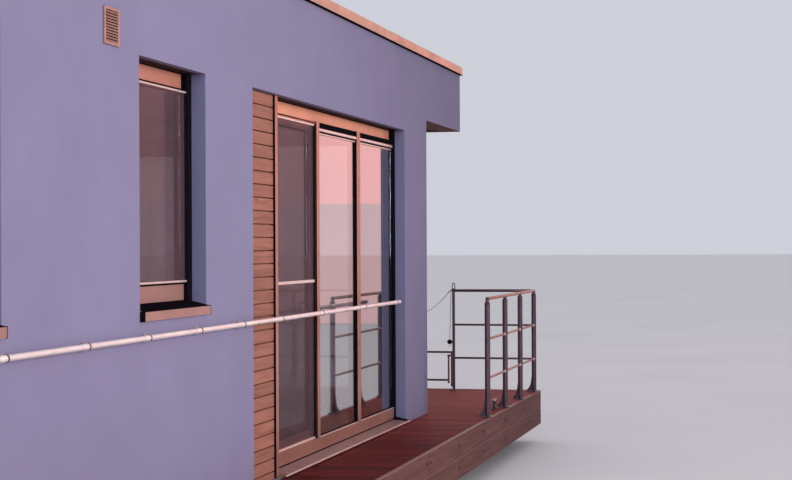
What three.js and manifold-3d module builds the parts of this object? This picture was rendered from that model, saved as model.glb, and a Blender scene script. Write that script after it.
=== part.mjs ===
// Houseboat: a flat-roofed cabin with rendered walls on two flat-bottomed floats, with a terrace at the bow.
// Millimetres. x runs forward from the cabin's front wall, y to port, z up from the floats' flat bottoms.
import * as THREE from "three";
import { mergeVertices } from "three/addons/utils/BufferGeometryUtils.js";
import Module from "manifold-3d";

const wasm = await Module();
wasm.setup();

// Driving dimensions
const SEAT = 0.3; // gap where one piece rests on or in another
const DECK = { top: 1000, front: 2430, rear: -10780, half: 2506, board: 28 };
const FASCIA = { height: 330, thick: 28 };
const BOARDS = { pitch: 145, gap: 6, groove: 14 };
const FRAME = { bottom: 800, plate: 60, beamWidth: 90, beamPitch: 1080 };
const FLOAT = { inner: 756, outer: 2156, top: 800, chine: 130 };
const CABIN = { rear: -9800, half: 1900, wall: 180, floor: 46 };
const ROOF = { soffit: 3500, ceiling: 3540, slabTop: 3860, wallTop: 4030, front: 1456, fasciaThick: 120 };
const CAP = { height: 72, overhang: 25, width: 230 };
const HEAD = 3365; // head of every door opening
const SIDE_DOOR = { rear: -4681, front: -815, clad: -4163, trim: -4112, mullions: [-3034, -1958] };
const WINDOW = { width: 935, bottom: 2100, head: HEAD, fronts: [-5482, -7876], frame: 60 };
const GUIDE = { depth: 81, widths: [66, 92], end: 67 }; // blind guide rails, set back from the wall's face
const GLASS = { depth: 99, thick: 26 };
const SHUTTER_BOX = { depth: 115, height: 85 };
const HINGE = { radius: 8, gap: 5, proud: 9, height: 60, tab: 22 };
const LEAF = { stile: 60, thick: 58, clear: 9 };

// Small helpers: blocks from their limits, profiles pushed along an axis, and joins and cuts
const sorted = (a, b) => (a < b ? [a, b] : [b, a]);

// Places each vertex of a unit form at one of two exact limits, so that faces in one plane share it exactly
function block(x, y, z) {
  const limits = [sorted(...x), sorted(...y), sorted(...z)];
  const made = new THREE.BoxGeometry(1, 1, 1);
  const position = made.attributes.position;
  for (let i = 0; i < position.count; i++)
    limits.forEach((limit, axis) => {
      position.setComponent(i, axis, limit[position.getComponent(i, axis) < 0 ? 0 : 1]);
    });
  return made;
}

const outline = (points) => new THREE.Shape(points.map(([a, b]) => new THREE.Vector2(a, b)));

// A shape drawn in the plane of two axes and pushed along the third, from one limit to the other
function pushed(shape, axes, limits) {
  const made = new THREE.ExtrudeGeometry(shape, { depth: 1, bevelEnabled: false });
  const flat = made.attributes.position;
  const out = new Float32Array(flat.count * 3);
  for (let i = 0; i < flat.count; i++) {
    out[3 * i + axes[0]] = flat.getX(i);
    out[3 * i + axes[1]] = flat.getY(i);
    out[3 * i + axes[2]] = limits[flat.getZ(i) < 0.5 ? 0 : 1];
  }
  return new THREE.BufferGeometry().setAttribute("position", new THREE.BufferAttribute(out, 3));
}
const pushedAlongY = (shape, y0, y1) => pushed(shape, [0, 2, 1], [y1, y0]);
const pushedAlongX = (shape, x0, x1) => pushed(shape, [1, 2, 0], [x0, x1]);

// A round bar between two points
function bar(from, to, radius, sides = 10, endRadius = radius) {
  const a = new THREE.Vector3(...from);
  const b = new THREE.Vector3(...to);
  const along = b.clone().sub(a);
  const made = new THREE.CylinderGeometry(endRadius, radius, along.length(), sides);
  const up = new THREE.Vector3(0, 1, 0);
  made.applyQuaternion(new THREE.Quaternion().setFromUnitVectors(up, along.clone().normalize()));
  return made.translate(...a.add(b).multiplyScalar(0.5).toArray());
}

// Vertices are kept on a fine grid, so that faces meant to be in one plane are exactly in it
const GRID = 256;
const FLATNESS = 0.002; // faces within this of one plane are one face

function solid(geometry) {
  const bare = geometry.index ? geometry.toNonIndexed() : geometry.clone();
  bare.deleteAttribute("normal");
  bare.deleteAttribute("uv");
  const { array } = bare.attributes.position;
  for (let i = 0; i < array.length; i++) array[i] = Math.round(array[i] * GRID) / GRID;
  const merged = mergeVertices(bare, 1e-3);
  const vertProperties = new Float32Array(merged.attributes.position.array);
  const triVerts = new Uint32Array(merged.index.array);
  return new wasm.Manifold(new wasm.Mesh({ numProp: 3, vertProperties, triVerts }));
}

// Coplanar faces that a join or cut leaves behind are merged before the mesh is read
function geometryOf(made) {
  const mesh = made.asOriginal().simplify(FLATNESS).getMesh();
  const geometry = new THREE.BufferGeometry();
  geometry.setAttribute("position", new THREE.BufferAttribute(new Float32Array(mesh.vertProperties), 3));
  geometry.setIndex(new THREE.BufferAttribute(new Uint32Array(mesh.triVerts), 1));
  geometry.computeVertexNormals();
  return geometry;
}

function joined(pieces) {
  return geometryOf(pieces.map(solid).reduce((whole, piece) => whole.add(piece)));
}

function cut(body, tools) {
  return geometryOf(tools.map(solid).reduce((whole, tool) => whole.subtract(tool), solid(body)));
}

function common(a, b) {
  return geometryOf(solid(a).intersect(solid(b)));
}

// Colours and finishes
const FINISH = {
  render: { color: 0x9087a8, roughness: 0.9, metalness: 0 },
  copper: { color: 0xb77d6f, roughness: 0.35, metalness: 0.7 },
  steel: { color: 0xa9a3a8, roughness: 0.3, metalness: 0.9 },
  post: { color: 0x4b383f, roughness: 0.45, metalness: 0.6 },
  float: { color: 0x3c4248, roughness: 0.6, metalness: 0.4 },
  deck: { color: 0x6e3a38, roughness: 0.75, metalness: 0 },
  cedar: { color: 0xa66a5f, roughness: 0.8, metalness: 0 },
  darkWood: { color: 0x4c2b23, roughness: 0.8, metalness: 0 },
  glass: { color: 0x8fa0a8, roughness: 0.05, metalness: 0, transparent: true, opacity: 0.35 },
  screen: { color: 0x4a4448, roughness: 0.9, metalness: 0 },
  roofing: { color: 0x55565a, roughness: 0.9, metalness: 0 },
  floor: { color: 0x9a7b60, roughness: 0.6, metalness: 0 },
  door: { color: 0x6b6470, roughness: 0.5, metalness: 0.2 },
  rope: { color: 0xcfc3b8, roughness: 0.9, metalness: 0 },
  cowl: { color: 0x2b2d31, roughness: 0.35, metalness: 0.1 },
};

const boat = new THREE.Group();

function add(name, geometry, finish) {
  const mesh = new THREE.Mesh(joined([geometry]), new THREE.MeshStandardMaterial(FINISH[finish]));
  mesh.name = name;
  boat.add(mesh);
}

// Both sides of the boat: the name used for it, and the sign of y
const SIDES = [
  ["starboard", -1],
  ["port", 1],
];

// Depth d counts inwards from the outer face of the side wall
const across = (side, d) => side * (CABIN.half - d);
const sideBlock = (side, x, d, z) => block(x, [across(side, d[0]), across(side, d[1])], z);

// Floats: raked ends and chamfered chines
const FLOAT_SIDE = [
  [-10330, 800],
  [-10330, 420],
  [-9830, 0],
  [1130, 0],
  [1830, 330],
  [2160, 800],
];
for (const [name, side] of SIDES) {
  const [y0, y1] = sorted(side * FLOAT.inner, side * FLOAT.outer);
  const section = outline([
    [y0, FLOAT.top],
    [y0, FLOAT.chine],
    [y0 + FLOAT.chine, 0],
    [y1 - FLOAT.chine, 0],
    [y1, FLOAT.chine],
    [y1, FLOAT.top],
  ]);
  add(
    "float_" + name,
    common(pushedAlongY(outline(FLOAT_SIDE), y0, y1), pushedAlongX(section, DECK.rear, DECK.front)),
    "float",
  );
}

// Deck frame: a plate on cross beams and edge beams, with the arms and the plate that carry the motor
const FRAME_EDGE = FASCIA.thick + SEAT;
const FRAME_TOP = DECK.top - DECK.board - SEAT;
const frameX = [DECK.rear + FRAME_EDGE, DECK.front - FRAME_EDGE];
const frameY = DECK.half - FRAME_EDGE;
const MOTOR_PLATE = { front: -11080, thick: 50, half: 260, bottom: 500, top: 860 };
const MOTOR_ARMS = { low: 510, high: 640, width: 60, spread: 200, root: -10640 };
const framePieces = [block(frameX, [-frameY, frameY], [FRAME_TOP - FRAME.plate, FRAME_TOP])];
const beamLevel = [FRAME.bottom + SEAT, FRAME_TOP - FRAME.plate + 1];
for (const side of [-1, 1]) {
  framePieces.push(block(frameX, [side * frameY, side * (frameY - FRAME.beamWidth)], beamLevel));
  framePieces.push(
    block(
      [MOTOR_PLATE.front, MOTOR_ARMS.root],
      [side * MOTOR_ARMS.spread, side * (MOTOR_ARMS.spread - MOTOR_ARMS.width)],
      [MOTOR_ARMS.low, MOTOR_ARMS.high],
    ),
    block(
      [MOTOR_ARMS.root - MOTOR_ARMS.width, MOTOR_ARMS.root],
      [side * MOTOR_ARMS.spread, side * (MOTOR_ARMS.spread - MOTOR_ARMS.width)],
      [MOTOR_ARMS.low, FRAME_TOP - FRAME.plate + 1],
    ),
  );
}
for (let x = frameX[1] - FRAME.beamWidth; x > frameX[0]; x -= FRAME.beamPitch)
  framePieces.push(block([x, x + FRAME.beamWidth], [-frameY, frameY], beamLevel));
framePieces.push(block([frameX[0], frameX[0] + FRAME.beamWidth], [-frameY, frameY], beamLevel));
framePieces.push(
  block(
    [MOTOR_PLATE.front - MOTOR_PLATE.thick, MOTOR_PLATE.front],
    [-MOTOR_PLATE.half, MOTOR_PLATE.half],
    [MOTOR_PLATE.bottom, MOTOR_PLATE.top],
  ),
);
add("deck_frame", joined(framePieces), "float");

// Decks: boards laid across the boat, their joints as grooves, in four fields round the cabin
function boarded(x0, x1) {
  const underside = DECK.top - DECK.board;
  const points = [
    [x0, underside],
    [x1, underside],
    [x1, DECK.top],
  ];
  for (let x = DECK.front - BOARDS.pitch; x > DECK.rear; x -= BOARDS.pitch) {
    if (x - BOARDS.gap < x0 + BOARDS.gap || x > x1 - BOARDS.gap) continue;
    points.push([x, DECK.top], [x, DECK.top - BOARDS.groove]);
    points.push([x - BOARDS.gap, DECK.top - BOARDS.groove], [x - BOARDS.gap, DECK.top]);
  }
  points.push([x0, DECK.top]);
  return outline(points);
}
const deckLimit = DECK.half - FASCIA.thick - SEAT;
const wallFoot = CABIN.half + SEAT;
add("deck_terrace", pushedAlongY(boarded(SEAT, frameX[1]), -deckLimit, deckLimit), "deck");
add("deck_stern", pushedAlongY(boarded(frameX[0], CABIN.rear - SEAT), -deckLimit, deckLimit), "deck");
for (const [name, side] of SIDES) {
  const [y0, y1] = sorted(side * wallFoot, side * deckLimit);
  add("deck_side_" + name, pushedAlongY(boarded(CABIN.rear, 0), y0, y1), "deck");
}

// Fascia: two boards, one over the other, round the deck's edge
const FASCIA_JOINT = { level: DECK.top - 168, width: 5, depth: 6 };
const fasciaLevel = [DECK.top - FASCIA.height, DECK.top];
const fasciaJoint = [FASCIA_JOINT.level - FASCIA_JOINT.width, FASCIA_JOINT.level];
for (const [name, side] of SIDES) {
  const face = side * DECK.half;
  add(
    "fascia_" + name,
    cut(block([DECK.rear, DECK.front], [face, face - side * FASCIA.thick], fasciaLevel), [
      block(
        [DECK.rear - 10, DECK.front + 10],
        [face + side * 10, face - side * FASCIA_JOINT.depth],
        fasciaJoint,
      ),
    ]),
    "deck",
  );
}
for (const [name, end, way] of [
  ["bow", DECK.front, 1],
  ["stern", DECK.rear, -1],
])
  add(
    "fascia_" + name,
    cut(block([end, end - way * FASCIA.thick], [-deckLimit, deckLimit], fasciaLevel), [
      block([end + way * 10, end - way * FASCIA_JOINT.depth], [-deckLimit - 10, deckLimit + 10], fasciaJoint),
    ]),
    "deck",
  );

// Cabin floor, between the walls
const WALL_FOOT = DECK.top - DECK.board;
const inner = CABIN.half - CABIN.wall - SEAT;
add(
  "cabin_floor",
  block(
    [CABIN.rear + CABIN.wall + SEAT, -CABIN.wall - SEAT],
    [-inner, inner],
    [WALL_FOOT, WALL_FOOT + CABIN.floor],
  ),
  "floor",
);

// Side walls: each runs on over the terrace as the cheek of the roof overhang
for (const [name, side] of SIDES) {
  const through = [-10, CABIN.wall + 10];
  const whole = joined([
    sideBlock(side, [CABIN.rear, 0], [0, CABIN.wall], [WALL_FOOT, ROOF.wallTop]),
    sideBlock(side, [-10, ROOF.front], [0, CABIN.wall], [ROOF.soffit, ROOF.wallTop]),
  ]);
  add(
    "wall_" + name,
    cut(whole, [
      sideBlock(side, [SIDE_DOOR.rear, SIDE_DOOR.front], through, [DECK.top, HEAD]),
      ...WINDOW.fronts.map((x) =>
        sideBlock(side, [x - WINDOW.width, x], through, [WINDOW.bottom, WINDOW.head]),
      ),
    ]),
    "render",
  );
}

// End walls, between the side walls
const TERRACE_DOOR = { half: 1300 };
const ENTRANCE = { low: 300, high: 1250, head: 3080 };
add(
  "wall_front",
  cut(block([-CABIN.wall, 0], [-inner, inner], [WALL_FOOT, ROOF.ceiling]), [
    block([-CABIN.wall - 10, 10], [-TERRACE_DOOR.half, TERRACE_DOOR.half], [DECK.top, HEAD]),
  ]),
  "render",
);
add(
  "wall_rear",
  cut(block([CABIN.rear, CABIN.rear + CABIN.wall], [-inner, inner], [WALL_FOOT, ROOF.wallTop]), [
    block(
      [CABIN.rear - 10, CABIN.rear + CABIN.wall + 10],
      [ENTRANCE.low, ENTRANCE.high],
      [DECK.top, ENTRANCE.head],
    ),
  ]),
  "render",
);

// Roof: slab, front fascia of the overhang, soffit boards and the cap round the parapet
const fasciaBack = ROOF.front - ROOF.fasciaThick;
add(
  "roof_slab",
  block(
    [CABIN.rear + CABIN.wall + SEAT, fasciaBack - SEAT],
    [-inner, inner],
    [ROOF.ceiling + SEAT, ROOF.slabTop],
  ),
  "roofing",
);
add(
  "overhang_fascia",
  block([fasciaBack, ROOF.front], [-inner, inner], [ROOF.soffit, ROOF.wallTop]),
  "render",
);
const SOFFIT = { low: 3510, pitch: 120, gap: 8, groove: 8 };
const soffitGrooves = [];
for (let y = -inner + SOFFIT.pitch; y < inner - SOFFIT.gap; y += SOFFIT.pitch)
  soffitGrooves.push(
    block([-10, ROOF.front], [y, y + SOFFIT.gap], [SOFFIT.low - 10, SOFFIT.low + SOFFIT.groove]),
  );
add(
  "soffit",
  cut(block([SEAT, fasciaBack - SEAT], [-inner, inner], [SOFFIT.low, ROOF.ceiling]), soffitGrooves),
  "darkWood",
);
const capOuter = {
  rear: CABIN.rear - CAP.overhang,
  front: ROOF.front + CAP.overhang,
  half: CABIN.half + CAP.overhang,
};
add(
  "roof_cap",
  cut(
    block(
      [capOuter.rear, capOuter.front],
      [-capOuter.half, capOuter.half],
      [ROOF.wallTop + SEAT, ROOF.wallTop + CAP.height],
    ),
    [
      block(
        [capOuter.rear + CAP.width, capOuter.front - CAP.width],
        [-capOuter.half + CAP.width, capOuter.half - CAP.width],
        [ROOF.wallTop - 10, ROOF.wallTop + CAP.height + 10],
      ),
    ],
  ),
  "copper",
);

// Cladding beside the side doors: horizontal boards, set back from the wall's face
const CLADDING = { depth: 41, pitch: 80, gap: 6, groove: 12 };
const insideWall = CABIN.wall - SEAT;
for (const [name, side] of SIDES) {
  const grooves = [];
  for (let z = HEAD - CLADDING.pitch; z > DECK.top + CLADDING.gap; z -= CLADDING.pitch)
    grooves.push(
      sideBlock(
        side,
        [SIDE_DOOR.rear - 10, SIDE_DOOR.clad + 10],
        [CLADDING.depth - 10, CLADDING.depth + CLADDING.groove],
        [z - CLADDING.gap / 2, z + CLADDING.gap / 2],
      ),
    );
  add(
    "cladding_" + name,
    cut(
      sideBlock(
        side,
        [SIDE_DOOR.rear + SEAT, SIDE_DOOR.clad - SEAT],
        [CLADDING.depth, insideWall],
        [DECK.top + SEAT, HEAD - SEAT],
      ),
      grooves,
    ),
    "cedar",
  );
}

// Side door units: bottom rail, blind box, trim strip, guide rails and window frame.
// On the starboard side the aft pane is a leaf that opens inwards behind an insect screen.
const UNIT = {
  bottom: DECK.top + SEAT,
  ledge: 1126,
  paneHead: 3195,
  boxBottom: HEAD - SHUTTER_BOX.height,
  trimDepth: 27,
};
const FRAME_DEPTH = 109;
const MULLION_BACK = 60;
const THRESHOLD = { back: 1033, front: 1022, under: 1010, nose: 36 };
const unitFront = SIDE_DOOR.front - SEAT;
const paneFront = SIDE_DOOR.front - GUIDE.end;
const jamb = SIDE_DOOR.trim + 50;
const glassBack = GLASS.depth + GLASS.thick;

function doorUnit(side, hasLeaf) {
  const z = [UNIT.ledge - 1, UNIT.boxBottom + 1];
  const pieces = [
    sideBlock(side, [SIDE_DOOR.trim - 1, unitFront], [GUIDE.depth, insideWall], [UNIT.bottom, UNIT.ledge]),
    sideBlock(
      side,
      [SIDE_DOOR.trim - 1, unitFront],
      [SHUTTER_BOX.depth, insideWall],
      [UNIT.boxBottom, HEAD - SEAT],
    ),
    sideBlock(
      side,
      [SIDE_DOOR.clad, SIDE_DOOR.trim],
      [UNIT.trimDepth, insideWall],
      [UNIT.bottom, HEAD - SEAT],
    ),
    sideBlock(side, [SIDE_DOOR.trim - 1, jamb], [FRAME_DEPTH, insideWall], z),
    sideBlock(side, [paneFront, unitFront], [GUIDE.depth, insideWall], [z[0], HEAD - SEAT]),
    sideBlock(
      side,
      [hasLeaf ? SIDE_DOOR.mullions[0] : jamb - 1, paneFront + 1],
      [GLASS.depth, insideWall],
      [UNIT.paneHead, z[1]],
    ),
  ];
  SIDE_DOOR.mullions.forEach((x, i) => {
    const wide = [x - GUIDE.widths[i] / 2, x + GUIDE.widths[i] / 2];
    const narrow = [x - MULLION_BACK / 2, x + MULLION_BACK / 2];
    const back = hasLeaf && i === 0 ? GLASS.depth - SEAT - 1 : glassBack + SEAT;
    pieces.push(sideBlock(side, wide, [GUIDE.depth, GLASS.depth - SEAT], z));
    pieces.push(sideBlock(side, narrow, [back, insideWall], z));
  });
  const slope = outline([
    [across(side, GUIDE.depth + 1), UNIT.bottom],
    [across(side, GUIDE.depth + 1), THRESHOLD.back],
    [across(side, -THRESHOLD.nose), THRESHOLD.front],
    [across(side, -THRESHOLD.nose), THRESHOLD.under],
    [across(side, 1), THRESHOLD.under],
    [across(side, 1), UNIT.bottom],
  ]);
  pieces.push(pushedAlongX(slope, SIDE_DOOR.trim - 1, unitFront));
  return pieces;
}

const LEAF_BOX = {
  x: [jamb + LEAF.clear, SIDE_DOOR.mullions[0] - MULLION_BACK / 2 - LEAF.clear],
  z: [UNIT.ledge + LEAF.clear, UNIT.boxBottom - LEAF.clear],
  depth: [CABIN.wall - LEAF.clear - LEAF.thick, CABIN.wall - LEAF.clear],
};
const hingeAxis = { x: LEAF_BOX.x[0] - HINGE.gap, depth: CABIN.wall + HINGE.proud };
const HINGE_LEVELS = [1400, 2200, 3000];

// A hinge knuckle on the leaf (above) or on the frame (below), with the tab that carries it
function knuckle(side, level, onLeaf) {
  const z = onLeaf ? [level + SEAT, level + HINGE.height] : [level - HINGE.height, level];
  const y = across(side, hingeAxis.depth);
  const reach = onLeaf ? hingeAxis.x + HINGE.tab : hingeAxis.x - HINGE.tab;
  const seatDepth = onLeaf ? LEAF_BOX.depth[1] - 2 : insideWall - 4;
  return [
    bar([hingeAxis.x, y, z[0]], [hingeAxis.x, y, z[1]], HINGE.radius),
    sideBlock(side, [hingeAxis.x, reach], [seatDepth, hingeAxis.depth + 3], z),
  ];
}

for (const [name, side] of SIDES) {
  const hasLeaf = side < 0;
  const pieces = doorUnit(side, hasLeaf);
  if (hasLeaf) for (const level of HINGE_LEVELS) pieces.push(...knuckle(side, level, false));
  add("door_frame_" + name, joined(pieces), "copper");
  const glassStart = hasLeaf ? SIDE_DOOR.mullions[0] + MULLION_BACK / 2 : jamb;
  add(
    "door_glass_" + name,
    sideBlock(
      side,
      [glassStart + SEAT, paneFront - SEAT],
      [GLASS.depth, glassBack],
      [UNIT.ledge + SEAT, UNIT.paneHead - SEAT],
    ),
    "glass",
  );
}

function framed(x, z, width, make) {
  const [x0, x1] = x;
  const [z0, z1] = z;
  return cut(make(x, z), [make([x0 + width, x1 - width], [z0 + width, z1 - width], 10)]);
}

const STARBOARD = -1;
const leafFrame = framed(LEAF_BOX.x, LEAF_BOX.z, LEAF.stile, (x, z, extra = 0) =>
  sideBlock(STARBOARD, x, [LEAF_BOX.depth[0] - extra, LEAF_BOX.depth[1] + extra], z),
);
const LEAF_HANDLE = { level: 2050, reach: 45, length: 130, radius: 9 };
const handleX = LEAF_BOX.x[1] - LEAF.stile / 2;
const handleY = (d) => across(STARBOARD, d);
const leafKnuckles = HINGE_LEVELS.flatMap((level) => knuckle(STARBOARD, level, true));
add(
  "door_leaf_starboard",
  joined([
    leafFrame,
    ...leafKnuckles,
    bar(
      [handleX, handleY(LEAF_BOX.depth[1] - 2), LEAF_HANDLE.level],
      [handleX, handleY(LEAF_BOX.depth[1] + LEAF_HANDLE.reach), LEAF_HANDLE.level],
      LEAF_HANDLE.radius,
    ),
    bar(
      [handleX, handleY(LEAF_BOX.depth[1] + LEAF_HANDLE.reach), LEAF_HANDLE.level + LEAF_HANDLE.radius],
      [handleX, handleY(LEAF_BOX.depth[1] + LEAF_HANDLE.reach), LEAF_HANDLE.level - LEAF_HANDLE.length],
      LEAF_HANDLE.radius,
    ),
  ]),
  "copper",
);
const inset = LEAF.stile + SEAT;
add(
  "door_leaf_glass_starboard",
  sideBlock(
    STARBOARD,
    [LEAF_BOX.x[0] + inset, LEAF_BOX.x[1] - inset],
    [LEAF_BOX.depth[0] + 14, LEAF_BOX.depth[0] + 40],
    [LEAF_BOX.z[0] + inset, LEAF_BOX.z[1] - inset],
  ),
  "glass",
);

// Insect screen in front of the leaf: an aluminium frame with a middle bar, and the mesh as a thin sheet
const SCREEN = { front: 90, back: 106, stile: 32, rail: 14, top: 3259, bar: 21, barLevel: 2194.5, mesh: 3 };
const screenX = [SIDE_DOOR.trim + SEAT, SIDE_DOOR.mullions[0] - GUIDE.widths[0] / 2 - SEAT];
const screenZ = [UNIT.ledge + SEAT, SCREEN.top];
const screenMiddle = (SCREEN.front + SCREEN.back) / 2;
add(
  "insect_screen",
  joined([
    cut(sideBlock(STARBOARD, screenX, [SCREEN.front, SCREEN.back], screenZ), [
      sideBlock(
        STARBOARD,
        [screenX[0] + SCREEN.stile, screenX[1] - SCREEN.stile],
        [SCREEN.front - 10, SCREEN.back + 10],
        [screenZ[0] + SCREEN.rail, screenZ[1] - SCREEN.rail],
      ),
    ]),
    sideBlock(STARBOARD, screenX, [SCREEN.front, SCREEN.back], [
      SCREEN.barLevel - SCREEN.bar / 2,
      SCREEN.barLevel + SCREEN.bar / 2,
    ]),
    sideBlock(
      STARBOARD,
      [screenX[0] + 1, screenX[1] - 1],
      [screenMiddle - SCREEN.mesh / 2, screenMiddle + SCREEN.mesh / 2],
      [screenZ[0] + 1, screenZ[1] - 1],
    ),
  ]),
  "screen",
);

// Windows: frame, blind box, guide rails and the folded metal sill, one unit for each opening
const SILL = { nose: 26, lip: 6, low: 2068, high: 2113, back: 2146 };
const WINDOW_RAIL = 2231; // top of the bottom rail
const windowBox = WINDOW.head - SEAT - SHUTTER_BOX.height;
function windowUnit(side, front) {
  const x = [front - WINDOW.width + SEAT, front - SEAT];
  const z = [WINDOW.bottom + SEAT, WINDOW.head - SEAT];
  const slope = outline([
    [across(side, -SILL.nose), SILL.low],
    [across(side, -SILL.nose), SILL.high],
    [across(side, FRAME_DEPTH), SILL.back],
    [across(side, FRAME_DEPTH), z[0]],
    [across(side, SILL.lip - SILL.nose), z[0]],
    [across(side, SILL.lip - SILL.nose), SILL.low],
  ]);
  const frameZ = [WINDOW_RAIL - 1, windowBox + 1];
  const guideDepth = [GUIDE.depth, SHUTTER_BOX.depth + 1];
  const guideZ = [SILL.back - 20, z[1]];
  return [
    pushedAlongX(slope, x[0], x[1]),
    sideBlock(side, x, [FRAME_DEPTH - 5, insideWall], [z[0], WINDOW_RAIL]),
    sideBlock(side, x, [SHUTTER_BOX.depth, insideWall], [windowBox, z[1]]),
    sideBlock(side, [x[0], x[0] + WINDOW.frame], [FRAME_DEPTH, insideWall], frameZ),
    sideBlock(side, [x[1] - WINDOW.frame, x[1]], [FRAME_DEPTH, insideWall], frameZ),
    sideBlock(side, [x[0], x[0] + GUIDE.end], guideDepth, guideZ),
    sideBlock(side, [x[1] - GUIDE.end, x[1]], guideDepth, guideZ),
  ];
}
const WINDOW_NAMES = ["fore", "aft"];
for (const [name, side] of SIDES)
  WINDOW.fronts.forEach((front, i) => {
    add("window_frame_" + name + "_" + WINDOW_NAMES[i], joined(windowUnit(side, front)), "copper");
    const edge = GUIDE.end + 2 * SEAT;
    add(
      "window_glass_" + name + "_" + WINDOW_NAMES[i],
      sideBlock(
        side,
        [front - WINDOW.width + edge, front - edge],
        [FRAME_DEPTH + 8, FRAME_DEPTH + 8 + GLASS.thick],
        [WINDOW_RAIL + SEAT, windowBox - SEAT],
      ),
      "glass",
    );
  });

// Terrace doors: a fixed pane to starboard and a leaf that slides behind it
const TERRACE = { front: -60, back: -172, ring: 60, fixedX: [-112, -60], leafX: [-165, -117] };
const terraceY = TERRACE_DOOR.half - SEAT;
const terraceInnerY = terraceY - TERRACE.ring;
const terraceZ = [DECK.top + SEAT, HEAD - SEAT];
const terraceInnerZ = [terraceZ[0] + TERRACE.ring, terraceZ[1] - TERRACE.ring];
const MEETING = { half: 32 };
const TRACK = { height: 8, x: [-145, -137] };
const FIXED_PANE = [-98, -72];
const SLIDING_PANE = [-154, -128];
add(
  "terrace_door_frame",
  joined([
    cut(block([TERRACE.back, TERRACE.front], [-terraceY, terraceY], terraceZ), [
      block([TERRACE.back - 10, TERRACE.front + 10], [-terraceInnerY, terraceInnerY], terraceInnerZ),
    ]),
    block(TERRACE.fixedX, [-MEETING.half, MEETING.half], [terraceInnerZ[0] - 1, terraceInnerZ[1] + 1]),
    block(TRACK.x, [-terraceInnerY - 1, terraceInnerY + 1], [
      terraceInnerZ[0] - 1,
      terraceInnerZ[0] + TRACK.height,
    ]),
    block(TRACK.x, [-terraceInnerY - 1, terraceInnerY + 1], [
      terraceInnerZ[1] - TRACK.height,
      terraceInnerZ[1] + 1,
    ]),
  ]),
  "copper",
);
add(
  "terrace_fixed_glass",
  block(
    FIXED_PANE,
    [-terraceInnerY + SEAT, -MEETING.half - SEAT],
    [terraceInnerZ[0] + SEAT, terraceInnerZ[1] - SEAT],
  ),
  "glass",
);
const LEAF_GAP = 5;
const slidingY = [-MEETING.half, terraceInnerY - LEAF_GAP];
const slidingZ = [terraceInnerZ[0] + TRACK.height + SEAT, terraceInnerZ[1] - TRACK.height - SEAT];
const SLIDING_STILE = 64;
add(
  "terrace_door_leaf",
  joined([
    cut(block(TERRACE.leafX, slidingY, slidingZ), [
      block(
        [TERRACE.leafX[0] - 10, TERRACE.leafX[1] + 10],
        [slidingY[0] + SLIDING_STILE, slidingY[1] - SLIDING_STILE],
        [slidingZ[0] + SLIDING_STILE, slidingZ[1] - SLIDING_STILE],
      ),
    ]),
    block([TERRACE.leafX[0] - 40, TERRACE.leafX[0] + 1], [slidingY[1] - 42, slidingY[1] - 22], [1900, 2140]),
  ]),
  "copper",
);
add(
  "terrace_leaf_glass",
  block(
    SLIDING_PANE,
    [slidingY[0] + SLIDING_STILE + SEAT, slidingY[1] - SLIDING_STILE - SEAT],
    [slidingZ[0] + SLIDING_STILE + SEAT, slidingZ[1] - SLIDING_STILE - SEAT],
  ),
  "glass",
);

// Entrance in the rear wall: frame and a panelled leaf that opens inwards, hinged to port
const ENTRANCE_FRAME = 50;
const entranceX = [CABIN.rear + 60, CABIN.rear + CABIN.wall - SEAT];
const entranceY = [ENTRANCE.low + SEAT, ENTRANCE.high - SEAT];
const entranceZ = [DECK.top + SEAT, ENTRANCE.head - SEAT];
const entranceLeaf = {
  x: [CABIN.rear + CABIN.wall - LEAF.clear - LEAF.thick, CABIN.rear + CABIN.wall - LEAF.clear],
  y: [entranceY[0] + ENTRANCE_FRAME + LEAF.clear, entranceY[1] - ENTRANCE_FRAME - LEAF.clear],
  z: [entranceZ[0] + ENTRANCE_FRAME - 14, entranceZ[1] - ENTRANCE_FRAME - LEAF.clear],
};
const entranceAxis = { x: CABIN.rear + CABIN.wall + HINGE.proud, y: entranceLeaf.y[1] + HINGE.gap };
function entranceKnuckle(level, onLeaf) {
  const z = onLeaf ? [level + SEAT, level + HINGE.height] : [level - HINGE.height, level];
  const reach = onLeaf ? entranceAxis.y - HINGE.tab : entranceAxis.y + HINGE.tab;
  const seat = onLeaf ? entranceLeaf.x[1] - 2 : entranceX[1] - 4;
  return [
    bar([entranceAxis.x, entranceAxis.y, z[0]], [entranceAxis.x, entranceAxis.y, z[1]], HINGE.radius),
    block([seat, entranceAxis.x + 3], [entranceAxis.y, reach], z),
  ];
}
const ENTRANCE_LEVELS = [1300, 2050, 2800];
add(
  "entrance_frame",
  joined([
    cut(block(entranceX, entranceY, entranceZ), [
      block(
        [entranceX[0] - 10, entranceX[1] + 10],
        [entranceY[0] + ENTRANCE_FRAME, entranceY[1] - ENTRANCE_FRAME],
        [entranceZ[0] + 28, entranceZ[1] - ENTRANCE_FRAME],
      ),
    ]),
    ...ENTRANCE_LEVELS.flatMap((level) => entranceKnuckle(level, false)),
  ]),
  "copper",
);
const ENTRANCE_LIGHT = { y: [470, 640], z: [1500, 2750] };
const entranceHandleY = entranceLeaf.y[0] + 60;
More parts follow.
